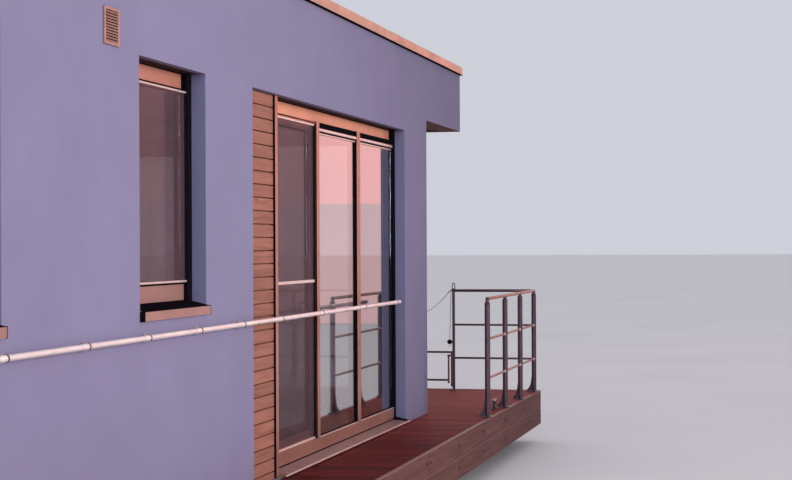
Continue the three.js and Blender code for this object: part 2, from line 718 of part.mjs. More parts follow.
add(
  "entrance_leaf",
  joined([
    cut(block(entranceLeaf.x, entranceLeaf.y, entranceLeaf.z), [
      block([entranceLeaf.x[0] - 10, entranceLeaf.x[0] + 12], ENTRANCE_LIGHT.y, ENTRANCE_LIGHT.z),
    ]),
    ...ENTRANCE_LEVELS.flatMap((level) => entranceKnuckle(level, true)),
    bar([entranceLeaf.x[0] - 50, entranceHandleY, 2030], [entranceLeaf.x[1] + 50, entranceHandleY, 2030], 10),
    bar(
      [entranceLeaf.x[0] - 50, entranceHandleY - 8, 2030],
      [entranceLeaf.x[0] - 50, entranceHandleY + 120, 2030],
      10,
    ),
    bar(
      [entranceLeaf.x[1] + 50, entranceHandleY - 8, 2030],
      [entranceLeaf.x[1] + 50, entranceHandleY + 120, 2030],
      10,
    ),
  ]),
  "door",
);

// Vent grille, high on the starboard wall
const VENT = {
  rear: -6851,
  front: -6675,
  low: 3373,
  high: 3549,
  thick: 10,
  rim: 16,
  slats: 8,
  slot: 9,
  cut: 6,
};
const ventFace = -CABIN.half - SEAT - VENT.thick;
const ventSlots = [];
const slatPitch = (VENT.high - VENT.low - 2 * VENT.rim) / VENT.slats;
for (let i = 0; i < VENT.slats; i++) {
  const z = VENT.low + VENT.rim + (i + 0.5) * slatPitch;
  ventSlots.push(
    block(
      [VENT.rear + VENT.rim, VENT.front - VENT.rim],
      [ventFace - 5, ventFace + VENT.cut],
      [z - VENT.slot / 2, z + VENT.slot / 2],
    ),
  );
}
add(
  "vent_grille",
  cut(block([VENT.rear, VENT.front], [ventFace, -CABIN.half - SEAT], [VENT.low, VENT.high]), ventSlots),
  "copper",
);

// Wall handrail: a tube on stems with rosettes. Columns: place along the wall, depth that the stem reaches
const HANDRAIL = {
  level: 1988,
  off: 35,
  radius: 12.5,
  rear: -9560,
  front: -1160,
  stem: 6,
  rosette: 22.5,
  plate: 4,
};
const HANDRAIL_STEMS = [
  [-9400, 0],
  [-8640, 0],
  [-7880, 0],
  [-7090, 0],
  [-6370, 0],
  [-5650, 0],
  [-4950, 0],
  [(SIDE_DOOR.clad + SIDE_DOOR.trim) / 2, UNIT.trimDepth],
  ...SIDE_DOOR.mullions.map((x) => [x, GUIDE.depth]),
];
for (const [name, side] of SIDES) {
  const y = across(side, -HANDRAIL.off);
  const pieces = [
    bar([HANDRAIL.rear, y, HANDRAIL.level], [HANDRAIL.front, y, HANDRAIL.level], HANDRAIL.radius, 12),
  ];
  for (const [x, depth] of HANDRAIL_STEMS) {
    const seat = across(side, depth - SEAT);
    const plate = across(side, depth - SEAT - HANDRAIL.plate);
    pieces.push(bar([x, y, HANDRAIL.level], [x, plate, HANDRAIL.level], HANDRAIL.stem, 8));
    pieces.push(bar([x, plate, HANDRAIL.level], [x, seat, HANDRAIL.level], HANDRAIL.rosette, 12));
  }
  add("handrail_" + name, joined(pieces), "steel");
}

// Terrace railings: posts on foot plates with a gusset, and three rails
const RAIL = {
  line: DECK.half - 36,
  front: 2220,
  rear: -253,
  post: 23,
  neck: 15,
  neckLevel: 1955,
  top: 1998,
  topRadius: 14,
  midRadius: 10,
  levels: [1322, 1649],
  topLevel: 1985,
};
const FOOT = { half: 45, thick: 8, gussetThick: 8, gussetOut: 70, gussetUp: 120 };

// Columns: along the railing, then whether the gusset points inwards from it
function post(x, y, gussetX, gussetY) {
  const foot = DECK.top + SEAT;
  const pieces = [
    block(
      [x - FOOT.half, x + FOOT.half],
      [y - FOOT.half + 12, y + FOOT.half - 12],
      [foot, foot + FOOT.thick],
    ),
    bar([x, y, foot], [x, y, RAIL.neckLevel], RAIL.post, 12),
    bar([x, y, RAIL.neckLevel - 5], [x, y, RAIL.top], RAIL.neck, 10),
  ];
  const rise = [
    [0, foot],
    [FOOT.gussetOut, foot],
    [0, foot + FOOT.gussetUp],
  ];
  if (gussetY) {
    const points = rise.map(([out, z]) => [y + gussetY * out, z]);
    pieces.push(pushedAlongX(outline(points), x - FOOT.gussetThick / 2, x + FOOT.gussetThick / 2));
  }
  if (gussetX) {
    const points = rise.map(([out, z]) => [x + gussetX * out, z]);
    pieces.push(pushedAlongY(outline(points), y - FOOT.gussetThick / 2, y + FOOT.gussetThick / 2));
  }
  return pieces;
}
const SIDE_POSTS = [RAIL.rear, 598, 1406, RAIL.front];
for (const [name, side] of SIDES) {
  const y = side * RAIL.line;
  const pieces = SIDE_POSTS.flatMap((x) => post(x, y, 0, -side));
  for (const z of RAIL.levels) pieces.push(bar([RAIL.rear, y, z], [RAIL.front, y, z], RAIL.midRadius, 8));
  pieces.push(bar([RAIL.rear - 8, y, RAIL.topLevel], [RAIL.front, y, RAIL.topLevel], RAIL.topRadius, 10));
  add("railing_side_" + name, joined(pieces), "post");
}

// Bow railings, either side of the boarding gap
const GAP = { starboard: -1673, port: -846 };
const GATE_POST = { radius: 14, top: 2006, knobMiddle: 2036, knobTop: 2062, knob: 22 };
const BOW_POSTS_PORT = [GAP.port, -17, 812, 1641];
function bowRails(fromY, toY) {
  const pieces = RAIL.levels.map((z) => bar([RAIL.front, fromY, z], [RAIL.front, toY, z], RAIL.midRadius, 8));
  pieces.push(bar([RAIL.front, fromY, RAIL.topLevel], [RAIL.front, toY, RAIL.topLevel], RAIL.topRadius, 10));
  return pieces;
}
const cornerFace = RAIL.line - RAIL.post - SEAT;
const EYE = { out: 30, radius: 5, level: 1985 };
const gateFoot = DECK.top + SEAT;
add(
  "railing_bow_starboard",
  joined([
    ...bowRails(-cornerFace, GAP.starboard),
    block(
      [RAIL.front - 45, RAIL.front + 45],
      [GAP.starboard - 30, GAP.starboard + 30],
      [gateFoot, gateFoot + 8],
    ),
    bar(
      [RAIL.front, GAP.starboard, gateFoot],
      [RAIL.front, GAP.starboard, GATE_POST.top],
      GATE_POST.radius,
      10,
    ),
    bar(
      [RAIL.front, GAP.starboard, EYE.level],
      [RAIL.front, GAP.starboard + EYE.out, EYE.level],
      EYE.radius,
      8,
    ),
    bar(
      [RAIL.front, GAP.starboard, GATE_POST.top - 2],
      [RAIL.front, GAP.starboard, GATE_POST.knobMiddle],
      GATE_POST.knob / 2,
      10,
      GATE_POST.knob,
    ),
    bar(
      [RAIL.front, GAP.starboard, GATE_POST.knobMiddle - 1],
      [RAIL.front, GAP.starboard, GATE_POST.knobTop],
      GATE_POST.knob,
      10,
      6,
    ),
  ]),
  "post",
);
add(
  "railing_bow_port",
  joined([
    ...bowRails(GAP.port, cornerFace),
    ...BOW_POSTS_PORT.flatMap((y) => post(RAIL.front, y, -1, 0)),
    bar([RAIL.front, GAP.port, EYE.level], [RAIL.front, GAP.port - 34, EYE.level], EYE.radius, 8),
  ]),
  "post",
);

// Boarding rope: it sags across the gap, and its tail hangs down the gate post to a snap hook
const ROPE = { radius: 5, sag: 245, level: 1985, segments: 4, steps: 36 };
const ropeTilt = 4; // the rope's end faces are tilted, so their edges reach this far back
const ropeStart = GAP.starboard + EYE.out + ropeTilt + SEAT;
const ropeEnd = GAP.port - 34 - ropeTilt - SEAT;
const ropePoints = [];
const ROPE_POINTS = 16;
for (let i = 0; i <= ROPE_POINTS; i++) {
  const t = i / ROPE_POINTS;
  ropePoints.push(
    new THREE.Vector3(
      RAIL.front,
      ropeStart + t * (ropeEnd - ropeStart),
      ROPE.level - 4 * ROPE.sag * t * (1 - t),
    ),
  );
}
const ropeSection = new THREE.Shape().absarc(0, 0, ROPE.radius, 0, 2 * Math.PI);
add(
  "boarding_rope",
  new THREE.ExtrudeGeometry(ropeSection, {
    extrudePath: new THREE.CatmullRomCurve3(ropePoints),
    steps: ROPE.steps,
    bevelEnabled: false,
    curveSegments: ROPE.segments,
  }),
  "rope",
);

// Bathing ladder at the boarding gap: brackets on the bow fascia, and two sections folded together
const LADDER = { y: -1405, half: 200, tube: 10, axisX: 2458, axisZ: 1032, plane: 2448, top: 1363 };
const LOWER = { half: 168, tube: 9, axisX: 2430, axisZ: 1330, foot: 1052, step: 1084 };
const EAR = { thick: 8, out: 2474, low: 930, high: 1048 };
const ladderSides = [-1, 1];
const earFace = LADDER.half + LADDER.tube + SEAT;
add(
  "ladder_bracket",
  joined([
    block(
      [DECK.front + SEAT, DECK.front + 8],
      [LADDER.y - earFace - 8, LADDER.y + earFace + 8],
      [EAR.low, 990],
    ),
    ...ladderSides.map((s) =>
      block(
        [DECK.front + SEAT, EAR.out],
        [LADDER.y + s * earFace, LADDER.y + s * (earFace + EAR.thick)],
        [EAR.low, EAR.high],
      ),
    ),
  ]),
  "steel",
);
add(
  "ladder_upper",
  joined([
    ...ladderSides.flatMap((s) => {
      const y = LADDER.y + s * LADDER.half;
      return [
        bar([LADDER.plane, y, LADDER.axisZ], [LADDER.plane, y, LADDER.top], LADDER.tube),
        bar(
          [LADDER.axisX, y - LADDER.tube, LADDER.axisZ],
          [LADDER.axisX, y + LADDER.tube, LADDER.axisZ],
          14,
          12,
        ),
        bar([LOWER.axisX, y, LOWER.axisZ], [LOWER.axisX, y - s * 18, LOWER.axisZ], 9),
        block([LOWER.axisX - 8, LADDER.plane], [y - 4, y + 4], [LOWER.axisZ - 10, LOWER.axisZ + 10]),
      ];
    }),
    bar(
      [LADDER.plane, LADDER.y - LADDER.half - 30, LADDER.top],
      [LADDER.plane, LADDER.y + LADDER.half + 30, LADDER.top],
      LADDER.tube,
    ),
  ]),
  "steel",
);
add(
  "ladder_lower",
  joined([
    ...ladderSides.flatMap((s) => {
      const y = LADDER.y + s * LOWER.half;
      return [
        bar([LADDER.plane, y, LOWER.foot], [LADDER.plane, y, LOWER.axisZ + 8], LOWER.tube),
        bar(
          [LOWER.axisX, y + s * (13.5 - SEAT), LOWER.axisZ],
          [LOWER.axisX, y - s * 8, LOWER.axisZ],
          9,
        ),
        block([LOWER.axisX - 7, LADDER.plane], [y - 6, y + 6], [LOWER.axisZ - 8, LOWER.axisZ + 8]),
      ];
    }),
    bar(
      [LADDER.plane, LADDER.y - LOWER.half, LOWER.step],
      [LADDER.plane, LADDER.y + LOWER.half, LOWER.step],
      LADDER.tube,
    ),
  ]),
  "steel",
);

// Outboard motor on the plate behind the stern: clamp, swivel, motor and propeller
const MOTOR = { tiltX: -11155, tiltZ: 905, steerX: -11240, shaftZ: 215 };
const plateAft = MOTOR_PLATE.front - MOTOR_PLATE.thick;
const CLAMP = { half: 60, cheek: 14, front: -11065, low: 640, bridge: 878, top: 922 };
const CLAMP_SCREW = { y: 35, z: 790, front: -11010, radius: 8, knob: 16 };
add(
  "motor_clamp",
  joined([
    block([plateAft - 18, CLAMP.front], [-CLAMP.half, CLAMP.half], [MOTOR_PLATE.top + SEAT, CLAMP.bridge]),
    block([MOTOR_PLATE.front + SEAT, CLAMP.front], [-CLAMP.half, CLAMP.half], [740, CLAMP.bridge - 1]),
    block([plateAft - 18, plateAft - SEAT], [-CLAMP.half, CLAMP.half], [CLAMP.low, CLAMP.bridge - 1]),
    ...ladderSides.flatMap((s) => [
      block(
        [MOTOR.tiltX - 21, MOTOR.tiltX + 21],
        [s * (CLAMP.half - CLAMP.cheek), s * CLAMP.half],
        [CLAMP.low, CLAMP.top],
      ),
      bar(
        [CLAMP.front - 4, s * CLAMP_SCREW.y, CLAMP_SCREW.z],
        [CLAMP_SCREW.front, s * CLAMP_SCREW.y, CLAMP_SCREW.z],
        CLAMP_SCREW.radius,
      ),
      bar(
        [CLAMP_SCREW.front - 12, s * CLAMP_SCREW.y, CLAMP_SCREW.z],
        [CLAMP_SCREW.front, s * CLAMP_SCREW.y, CLAMP_SCREW.z],
        CLAMP_SCREW.knob,
      ),
    ]),
  ]),
  "post",
);
const SWIVEL = { half: 32, front: -11180, low: 650, high: 890, tube: 28, tiltTube: 15 };
const betweenCheeks = CLAMP.half - CLAMP.cheek - SEAT;
add(
  "motor_swivel",
  joined([
    bar(
      [MOTOR.tiltX, -betweenCheeks, MOTOR.tiltZ],
      [MOTOR.tiltX, betweenCheeks, MOTOR.tiltZ],
      SWIVEL.tiltTube,
      12,
    ),
    block(
      [SWIVEL.front - 12, MOTOR.tiltX],
      [-SWIVEL.half, SWIVEL.half],
      [MOTOR.tiltZ - 12, MOTOR.tiltZ + 12],
    ),
    block([MOTOR.steerX, SWIVEL.front], [-22, 22], [SWIVEL.low, SWIVEL.high + 27]),
    bar([MOTOR.steerX, 0, SWIVEL.low], [MOTOR.steerX, 0, SWIVEL.high], SWIVEL.tube, 12),
  ]),
  "post",
);

// A closed form through rounded-rectangle rings. Columns: level, middle x, half length, half width
function lofted(rings, sides = 24, squareness = 3.2) {
  const points = [];
  for (const [z, middle, halfX, halfY] of rings)
    for (let i = 0; i < sides; i++) {
      const angle = (2 * Math.PI * i) / sides;
      const [c, s] = [Math.cos(angle), Math.sin(angle)];
      const reach = (Math.abs(c) ** squareness + Math.abs(s) ** squareness) ** (-1 / squareness);
      points.push(middle + halfX * c * reach, halfY * s * reach, z);
    }
  const [first, last] = [rings[0], rings.at(-1)];
  points.push(first[1], 0, first[0], last[1], 0, last[0]);
  const faces = [];
  const bottomMiddle = rings.length * sides;
  for (let i = 0; i < sides; i++) {
    const next = (i + 1) % sides;
    faces.push(bottomMiddle, next, i);
    for (let k = 0; k < rings.length - 1; k++) {
      const [low, high] = [k * sides, (k + 1) * sides];
      faces.push(low + i, low + next, high + next, low + i, high + next, high + i);
    }
    const top = (rings.length - 1) * sides;
    faces.push(bottomMiddle + 1, top + i, top + next);
  }
  const made = new THREE.BufferGeometry();
  made.setAttribute("position", new THREE.Float32BufferAttribute(points, 3));
  made.setIndex(faces);
  return made;
}
const COWL = [
  [940, -11317, 118, 92],
  [962, -11317, 137, 110],
  [1100, -11317, 137, 110],
  [1195, -11320, 128, 102],
  [1238, -11324, 104, 80],
  [1250, -11326, 70, 52],
];
const LEG = { front: -11285, aft: -11380, half: 24 };
const YOKE = { front: -11208, half: 34, lowBottom: 610 };
const GEARCASE = { aft: -11405, front: -11270, nose: -11195, radius: 36 };
const CAVITATION = { front: -11260, aft: -11430, half: 72, level: 345, thick: 7 };
const legShape = new THREE.Shape();
legShape.moveTo(LEG.aft, 0);
legShape.quadraticCurveTo((LEG.aft + LEG.front) / 2, -LEG.half * 1.9, LEG.front, -LEG.half * 0.6);
legShape.lineTo(LEG.front, LEG.half * 0.6);
legShape.quadraticCurveTo((LEG.aft + LEG.front) / 2, LEG.half * 1.9, LEG.aft, 0);
const skeg = outline([
  [-11392, MOTOR.shaftZ],
  [-11295, MOTOR.shaftZ],
  [-11365, 62],
  [-11402, 62],
]);
add(
  "motor",
  joined([
    lofted(COWL),
    block([LEG.front - 60, YOKE.front], [-YOKE.half, YOKE.half], [SWIVEL.high + 28 + SEAT, COWL[0][0] + 6]),
    block([LEG.front - 60, YOKE.front], [-YOKE.half, YOKE.half], [YOKE.lowBottom, SWIVEL.low - SEAT]),
    pushed(legShape, [0, 1, 2], [MOTOR.shaftZ, COWL[0][0] + 10]),
    block(
      [CAVITATION.aft, CAVITATION.front],
      [-CAVITATION.half, CAVITATION.half],
      [CAVITATION.level, CAVITATION.level + CAVITATION.thick],
    ),
    bar([GEARCASE.aft, 0, MOTOR.shaftZ], [GEARCASE.front, 0, MOTOR.shaftZ], GEARCASE.radius, 16),
    bar([GEARCASE.front, 0, MOTOR.shaftZ], [GEARCASE.nose, 0, MOTOR.shaftZ], GEARCASE.radius, 16, 8),
    pushedAlongY(skeg, -6, 6),
  ]),
  "cowl",
);
const PROPELLER = {
  hub: 24,
  hubEnd: 18,
  aft: -11472,
  blades: 3,
  middle: 66,
  length: 52,
  chord: 36,
  thick: 7,
  pitch: 0.62,
};
const bladeShape = new THREE.Shape();
bladeShape.absellipse(0, PROPELLER.middle, PROPELLER.chord, PROPELLER.length, 0, 2 * Math.PI);
const propellerPieces = [
  bar(
    [GEARCASE.aft - SEAT, 0, MOTOR.shaftZ],
    [PROPELLER.aft, 0, MOTOR.shaftZ],
    PROPELLER.hub,
    12,
    PROPELLER.hubEnd,
  ),
];
const bladeX = (GEARCASE.aft + PROPELLER.aft) / 2;
for (let i = 0; i < PROPELLER.blades; i++) {
  const blade = pushed(bladeShape, [1, 2, 0], [-PROPELLER.thick / 2, PROPELLER.thick / 2]);
  blade.rotateZ(PROPELLER.pitch);
  blade.rotateX((2 * Math.PI * i) / PROPELLER.blades);
  propellerPieces.push(blade.translate(bladeX, 0, MOTOR.shaftZ));
}
add("propeller", joined(propellerPieces), "post");

// Tail of the boarding rope: it hangs from the starboard eye, with a snap hook at its end
const HOOK = { top: 1500, middle: 1466, low: 1433, radius: 25, nose: 8 };
const hookY = GAP.starboard + GATE_POST.radius + HOOK.radius + 1; // the hook leans on the gate post
const tailY = GAP.starboard + EYE.out - ROPE.radius - 1;
const ropeGap = SEAT + 0.2;
add(
  "rope_tail",
  bar(
    [RAIL.front, tailY, EYE.level - EYE.radius - ropeGap],
    [RAIL.front, hookY, HOOK.top + ropeGap],
    ROPE.radius,
    8,
  ),
  "rope",
);
add(
  "snap_hook",
  joined([
    bar([RAIL.front, hookY, HOOK.middle], [RAIL.front, hookY, HOOK.top], HOOK.radius, 10, HOOK.nose),
    bar([RAIL.front, hookY, HOOK.low], [RAIL.front, hookY, HOOK.middle + 1], HOOK.nose, 10, HOOK.radius),
  ]),
  "post",
);

// The part's origin is under the middle of its length, at the floats' flat bottoms
boat.position.x = -(EAR.out + PROPELLER.aft) / 2;

export default boat;
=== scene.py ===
import math
import random

import bmesh
import bpy
from mathutils import Matrix, Vector


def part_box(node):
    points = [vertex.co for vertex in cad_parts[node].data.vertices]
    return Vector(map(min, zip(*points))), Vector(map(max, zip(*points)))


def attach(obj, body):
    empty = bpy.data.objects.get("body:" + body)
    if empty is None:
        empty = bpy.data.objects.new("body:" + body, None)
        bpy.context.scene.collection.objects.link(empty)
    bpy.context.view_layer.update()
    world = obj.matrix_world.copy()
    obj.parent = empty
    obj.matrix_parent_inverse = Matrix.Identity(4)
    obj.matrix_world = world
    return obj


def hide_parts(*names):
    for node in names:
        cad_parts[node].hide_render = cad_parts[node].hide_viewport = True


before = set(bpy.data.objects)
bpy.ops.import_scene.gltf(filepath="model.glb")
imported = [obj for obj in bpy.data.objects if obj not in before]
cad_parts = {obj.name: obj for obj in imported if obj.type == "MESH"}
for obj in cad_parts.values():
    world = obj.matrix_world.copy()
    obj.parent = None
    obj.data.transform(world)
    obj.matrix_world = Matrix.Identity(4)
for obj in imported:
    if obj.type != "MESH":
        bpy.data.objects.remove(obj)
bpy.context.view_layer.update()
scene = bpy.context.scene

# Camera: at eye height off the starboard quarter, almost level, with a long lens that looks forward along
# the side wall to the terrace. Its place and lens were fitted to the edges of the cabin and the railings.
FOCAL_LENGTH, SENSOR_WIDTH = 76.8, 36.0
CAMERA_PLACE = (-9.6082, -5.0424, 2.434)
CAMERA_TURN = (90.178, 0.263, -76.398)
lens = bpy.data.cameras.new("camera")
lens.lens, lens.sensor_width = FOCAL_LENGTH, SENSOR_WIDTH
lens.clip_start, lens.clip_end = 0.1, 900.0
camera = bpy.data.objects.new("camera", lens)
camera.location = CAMERA_PLACE
camera.rotation_euler = [math.radians(turn) for turn in CAMERA_TURN]
scene.collection.objects.link(camera)
scene.camera = camera

# Boarding rope: a laid polyester rope that sags across the boarding gap, with a pressed steel sleeve at the
# eye of the post on either side. A second length hangs down the gate post and ends in a dark plastic
# stopper with a steel loop.
ROPE_RADIUS = 0.005
ROPE_SAG = 0.245
ROPE_LAY = 0.05
ROPE_STEPS, TAIL_STEPS = 32, 20
BOW_RAIL_X = 6.719
EYE_LEVEL = 1.985
ROPE_ENDS = (-1.6387, -0.8843)
SLEEVE_BACK = 0.012
SLEEVE = [(0, 0.003), (0, 0.0062), (0.002, 0.0072), (0.036, 0.0072), (0.038, 0.006), (0.038, 0.003)]
HOOK_WIRE, HOOK_STEPS = 0.0018, 20
CREASE = math.radians(35)


def skinned(shape, rings):
    """Joins rings of corners one after the other and closes both ends."""
    count = len(rings[0])
    for low, high in zip(rings, rings[1:]):
        for k in range(count):
            n = (k + 1) % count
            shape.faces.new((low[k], low[n], high[n], high[k]))
    shape.faces.new(rings[0][::-1])
    shape.faces.new(rings[-1])


def swept(shape, path, section, turn=0.0):
    """Carries a closed section along a path and closes both ends."""
    path = [Vector(p) for p in path]
    rings, travelled = [], 0.0
    tangent = (path[1] - path[0]).normalized()
    side = tangent.orthogonal().normalized()
    for i, point in enumerate(path):
        ahead = path[min(i + 1, len(path) - 1)] - path[max(i - 1, 0)]
        new_tangent = ahead.normalized()
        side = (side - new_tangent * side.dot(new_tangent)).normalized()
        up = new_tangent.cross(side)
        if i:
            travelled += (point - path[i - 1]).length
        angle = turn * travelled
        c, s = math.cos(angle), math.sin(angle)
        ring = []
        for u, v in section:
            ring.append(shape.verts.new(point + side * (u * c - v * s) + up * (u * s + v * c)))
        rings.append(ring)
    skinned(shape, rings)


def rounds(radius, sides=12):
    """A round section."""
    step = 2 * math.pi / sides
    return [(radius * math.cos(i * step), radius * math.sin(i * step)) for i in range(sides)]


def three_strand(radius, sides=18):
    """The section of a rope laid from three strands."""
    section = []
    for i in range(sides):
        a = 2 * math.pi * i / sides
        r = radius * (0.88 + 0.12 * math.cos(3 * a))
        section.append((r * math.cos(a), r * math.sin(a)))
    return section


def turned(shape, start, direction, profile, sides=16):
    """Turns a profile of (distance, radius) steps about a line, as on a lathe."""
    start, axis = Vector(start), Vector(direction).normalized()
    side = axis.orthogonal().normalized()
    up = axis.cross(side)
    rings = []
    for along, radius in profile:
        centre = start + axis * along
        ring = []
        for k in range(sides):
            a = 2 * math.pi * k / sides
            ring.append(shape.verts.new(centre + (side * math.cos(a) + up * math.sin(a)) * max(radius, 1e-5)))
        rings.append(ring)
    skinned(shape, rings)


def fitted(name, shape, finish, body="hull", replaces=()):
    """Makes a named piece of a shape, gives it its finish and fixes it to one body of the boat."""
    bmesh.ops.recalc_face_normals(shape, faces=shape.faces)
    mesh = bpy.data.meshes.new(name)
    shape.to_mesh(mesh)
    shape.free()
    mesh.materials.append(finish.material)
    mesh.shade_smooth()
    mesh.set_sharp_from_angle(angle=CREASE)
    piece = bpy.data.objects.new(name, mesh)
    scene.collection.objects.link(piece)
    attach(piece, body)
    if replaces:
        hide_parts(*replaces)
    return piece


class Finish:
    """A finish under way: a surface shader, and the nodes that carry its colour, wear and grain."""

    def __init__(self, name, roughness, metal=0.0, **surface):
        self.material = bpy.data.materials.new(name)
        self.material.use_nodes = True
        self.tree = self.material.node_tree
        self.shader = self.tree.nodes["Principled BSDF"]
        self.shader.inputs["Roughness"].default_value = roughness
        self.shader.inputs["Metallic"].default_value = metal
        for socket, value in surface.items():
            self.shader.inputs[socket.replace("_", " ")].default_value = value

    def node(self, kind, **inputs):
        """Adds a node and fills the sockets that are named."""
        made = self.tree.nodes.new("ShaderNode" + kind)
        for socket, value in inputs.items():
            self.feed(made.inputs[socket.replace("_", " ")], value)
        return made

    def feed(self, socket, value):
        """Gives a socket a fixed value, or links it to another node."""
        if isinstance(value, bpy.types.NodeSocket):
            self.tree.links.new(value, socket)
        else:
            socket.default_value = value

    def place(self, stretch=(1, 1, 1), shift=None):
        """Where a point is on the boat, in metres, stretched along each axis."""
        at = self.node("TexCoord").outputs["Object"]
        if shift is not None:
            moved = self.node("VectorMath", Vector=at)
            moved.operation = "ADD"
            self.feed(moved.inputs[1], shift)
            at = moved.outputs[0]
        return self.node("Mapping", Vector=at, Scale=stretch).outputs[0]

    def noise(self, scale, detail=3.0, stretch=(1, 1, 1), rough=0.55, shift=None, distort=0.0):
        """An uneven pattern. The scale counts its patches to the metre."""
        made = self.node("TexNoise", Vector=self.place(stretch, shift), Scale=scale, Detail=detail)
        made.inputs["Roughness"].default_value = rough
        made.inputs["Distortion"].default_value = distort
        return made.outputs[0]

    def span(self, value, low, high, to_low, to_high):
        """Carries a value from one range over to another."""
        made = self.node("MapRange", Value=value)
        for socket, number in zip(("From Min", "From Max", "To Min", "To Max"), (low, high, to_low, to_high)):
            made.inputs[socket].default_value = number
        return made.outputs[0]

    def ramp(self, value, *stops):
        """Turns a value into a colour that passes through the given stops."""
        made = self.node("ValToRGB", Fac=value)
        points = made.color_ramp.elements
        while len(points) < len(stops):
            points.new(0.5)
        for point, (place, colour) in zip(points, stops):
            point.position = place
            point.color = (*colour, 1)
        return made.outputs[0]

    def blend(self, amount, first, second, way="MIX"):
        """Mixes two colours."""
        made = self.tree.nodes.new("ShaderNodeMix")
        made.data_type, made.blend_type = "RGBA", way
        self.feed(made.inputs[0], amount)
        for socket, value in ((made.inputs[6], first), (made.inputs[7], second)):
            self.feed(socket, value if isinstance(value, bpy.types.NodeSocket) else (*value, 1))
        return made.outputs[2]

    def sums(self, way, first, second=0.5):
        """Works out one step of arithmetic on two values."""
        made = self.tree.nodes.new("ShaderNodeMath")
        made.operation = way
        self.feed(made.inputs[0], first)
        self.feed(made.inputs[1], second)
        return made.outputs[0]

    def tones(self, grain, dark, light, full=0.7):
        """A tone that drifts from dark to light. Grain is the scale of its patches and their detail."""
        return self.ramp(self.noise(*grain), (0.3, dark), (full, light))

    def wear(self, grain, polished, dull):
        """Lets the roughness drift between a polished and a dull value."""
        return self.roughness(self.span(self.noise(*grain), 0.3, 0.7, polished, dull))

    def colour(self, value):
        self.feed(self.shader.inputs["Base Color"], value)
        return self

    def roughness(self, value):
        self.feed(self.shader.inputs["Roughness"], value)
        return self

    def relief(self, height, strength, distance):
        """Raises a fine grain on the surface."""
        bump = self.node("Bump", Strength=strength, Distance=distance, Height=height)
        self.feed(self.shader.inputs["Normal"], bump.outputs[0])
        return self


def from_screen(*rgb):
    """A colour as a display shows it, from 0 to 255, turned into light."""
    return tuple((v / 255 / 12.92) if v <= 10 else ((v / 255 + 0.055) / 1.055) ** 2.4 for v in rgb)


rope_finish = Finish("rope_yarn", 0.85, Sheen_Weight=0.3)
rope_finish.colour(rope_finish.tones((900,), from_screen(150, 124, 112), from_screen(208, 186, 170)))
rope_finish.relief(rope_finish.noise(2500), 0.5, 0.0006)

bright_steel = Finish("bright_steel", 0.3, 1.0)
bright_steel.colour(bright_steel.tones((6, 4), from_screen(196, 176, 180), from_screen(226, 208, 212), 0.75))
bright_steel.wear((60, 2, (0.1, 1, 1)), 0.24, 0.4)

# Black plastic for caps, feet, stoppers and beads; the same black also covers skins that paint shade and dark
# reflections on the door and window units, the screens, the roof cap and the vent.
plastic_and_shade_black = Finish("plastic_and_shade_skins", 0.6, Specular_IOR_Level=0.0)
plastic_and_shade_black.colour(plastic_and_shade_black.tones((40,), (0.004, 0.003, 0.005), (0.009, 0.007, 0.01)))
plastic_and_shade_black.relief(plastic_and_shade_black.noise(1500), 0.2, 0.0003)


def laid_rope(name, path, finish, stands_for):
    """A rope of three strands along a path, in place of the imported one."""
    shape = bmesh.new()
    swept(shape, path, three_strand(ROPE_RADIUS), turn=2 * math.pi / ROPE_LAY)
    return fitted(name, shape, finish, replaces=[stands_for])


rope_points = []
for i in range(ROPE_STEPS + 1):
    t = i / ROPE_STEPS
    y = ROPE_ENDS[0] + t * (ROPE_ENDS[1] - ROPE_ENDS[0])
    rope_points.append((BOW_RAIL_X, y, EYE_LEVEL - 4 * ROPE_SAG * t * (1 - t)))
boarding_rope = laid_rope("boarding_rope_laid", rope_points, rope_finish, "boarding_rope")

shape = bmesh.new()
first_way = Vector(rope_points[1]) - Vector(rope_points[0])
last_way = Vector(rope_points[-2]) - Vector(rope_points[-1])
for end, way in ((rope_points[0], first_way), (rope_points[-1], last_way)):
    way.normalize()
    turned(shape, Vector(end) - way * SLEEVE_BACK, way, SLEEVE, 12)
rope_sleeves = fitted("rope_sleeves", shape, bright_steel)

tail_low, tail_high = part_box("rope_tail")
hook_low, hook_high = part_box("snap_hook")
tail_x, hook_y = (tail_low.x + tail_high.x) / 2, (hook_low.y + hook_high.y) / 2
tail_top = Vector((tail_x, tail_low.y + ROPE_RADIUS, tail_high.z))
tail_end = Vector((tail_x, tail_high.y - ROPE_RADIUS, tail_low.z))
tail_points = [tuple(tail_top.lerp(tail_end, i / TAIL_STEPS)) for i in range(TAIL_STEPS + 1)]
tail_finish = Finish("dark_rope_yarn", 0.85, Sheen_Weight=0.2)
tail_finish.colour(tail_finish.tones((900,), from_screen(62, 40, 42), from_screen(98, 68, 66)))
tail_finish.relief(tail_finish.noise(2500), 0.5, 0.0006)
rope_tail = laid_rope("rope_tail_laid", tail_points, tail_finish, "rope_tail")

shape = bmesh.new()
hook_radius = (hook_high.y - hook_low.y) / 2
hook_span = hook_high.z - hook_low.z
turned(
    shape,
    (tail_x, hook_y, hook_high.z),
    (0, 0, -1),
    [
        (0, 0.5 * hook_radius),
        (0.06 * hook_span, 0.75 * hook_radius),
        (0.2 * hook_span, hook_radius),
        (0.45 * hook_span, hook_radius),
        (0.6 * hook_span, 0.7 * hook_radius),
        (0.62 * hook_span, 0.3 * hook_radius),
    ],
)
stopper = fitted("rope_stopper", shape, plastic_and_shade_black, replaces=["snap_hook"])
shape = bmesh.new()
loop = []
for i in range(HOOK_STEPS - 1):
    a = 2 * math.pi * i / HOOK_STEPS
    loop.append((
        tail_x,
        hook_y + 0.45 * hook_radius * math.sin(a),
        hook_low.z + 0.2 * hook_span + 0.18 * hook_span * math.cos(a),
    ))
swept(shape, loop, rounds(HOOK_WIRE, 8))
hook_loop = fitted("hook_loop", shape, bright_steel)

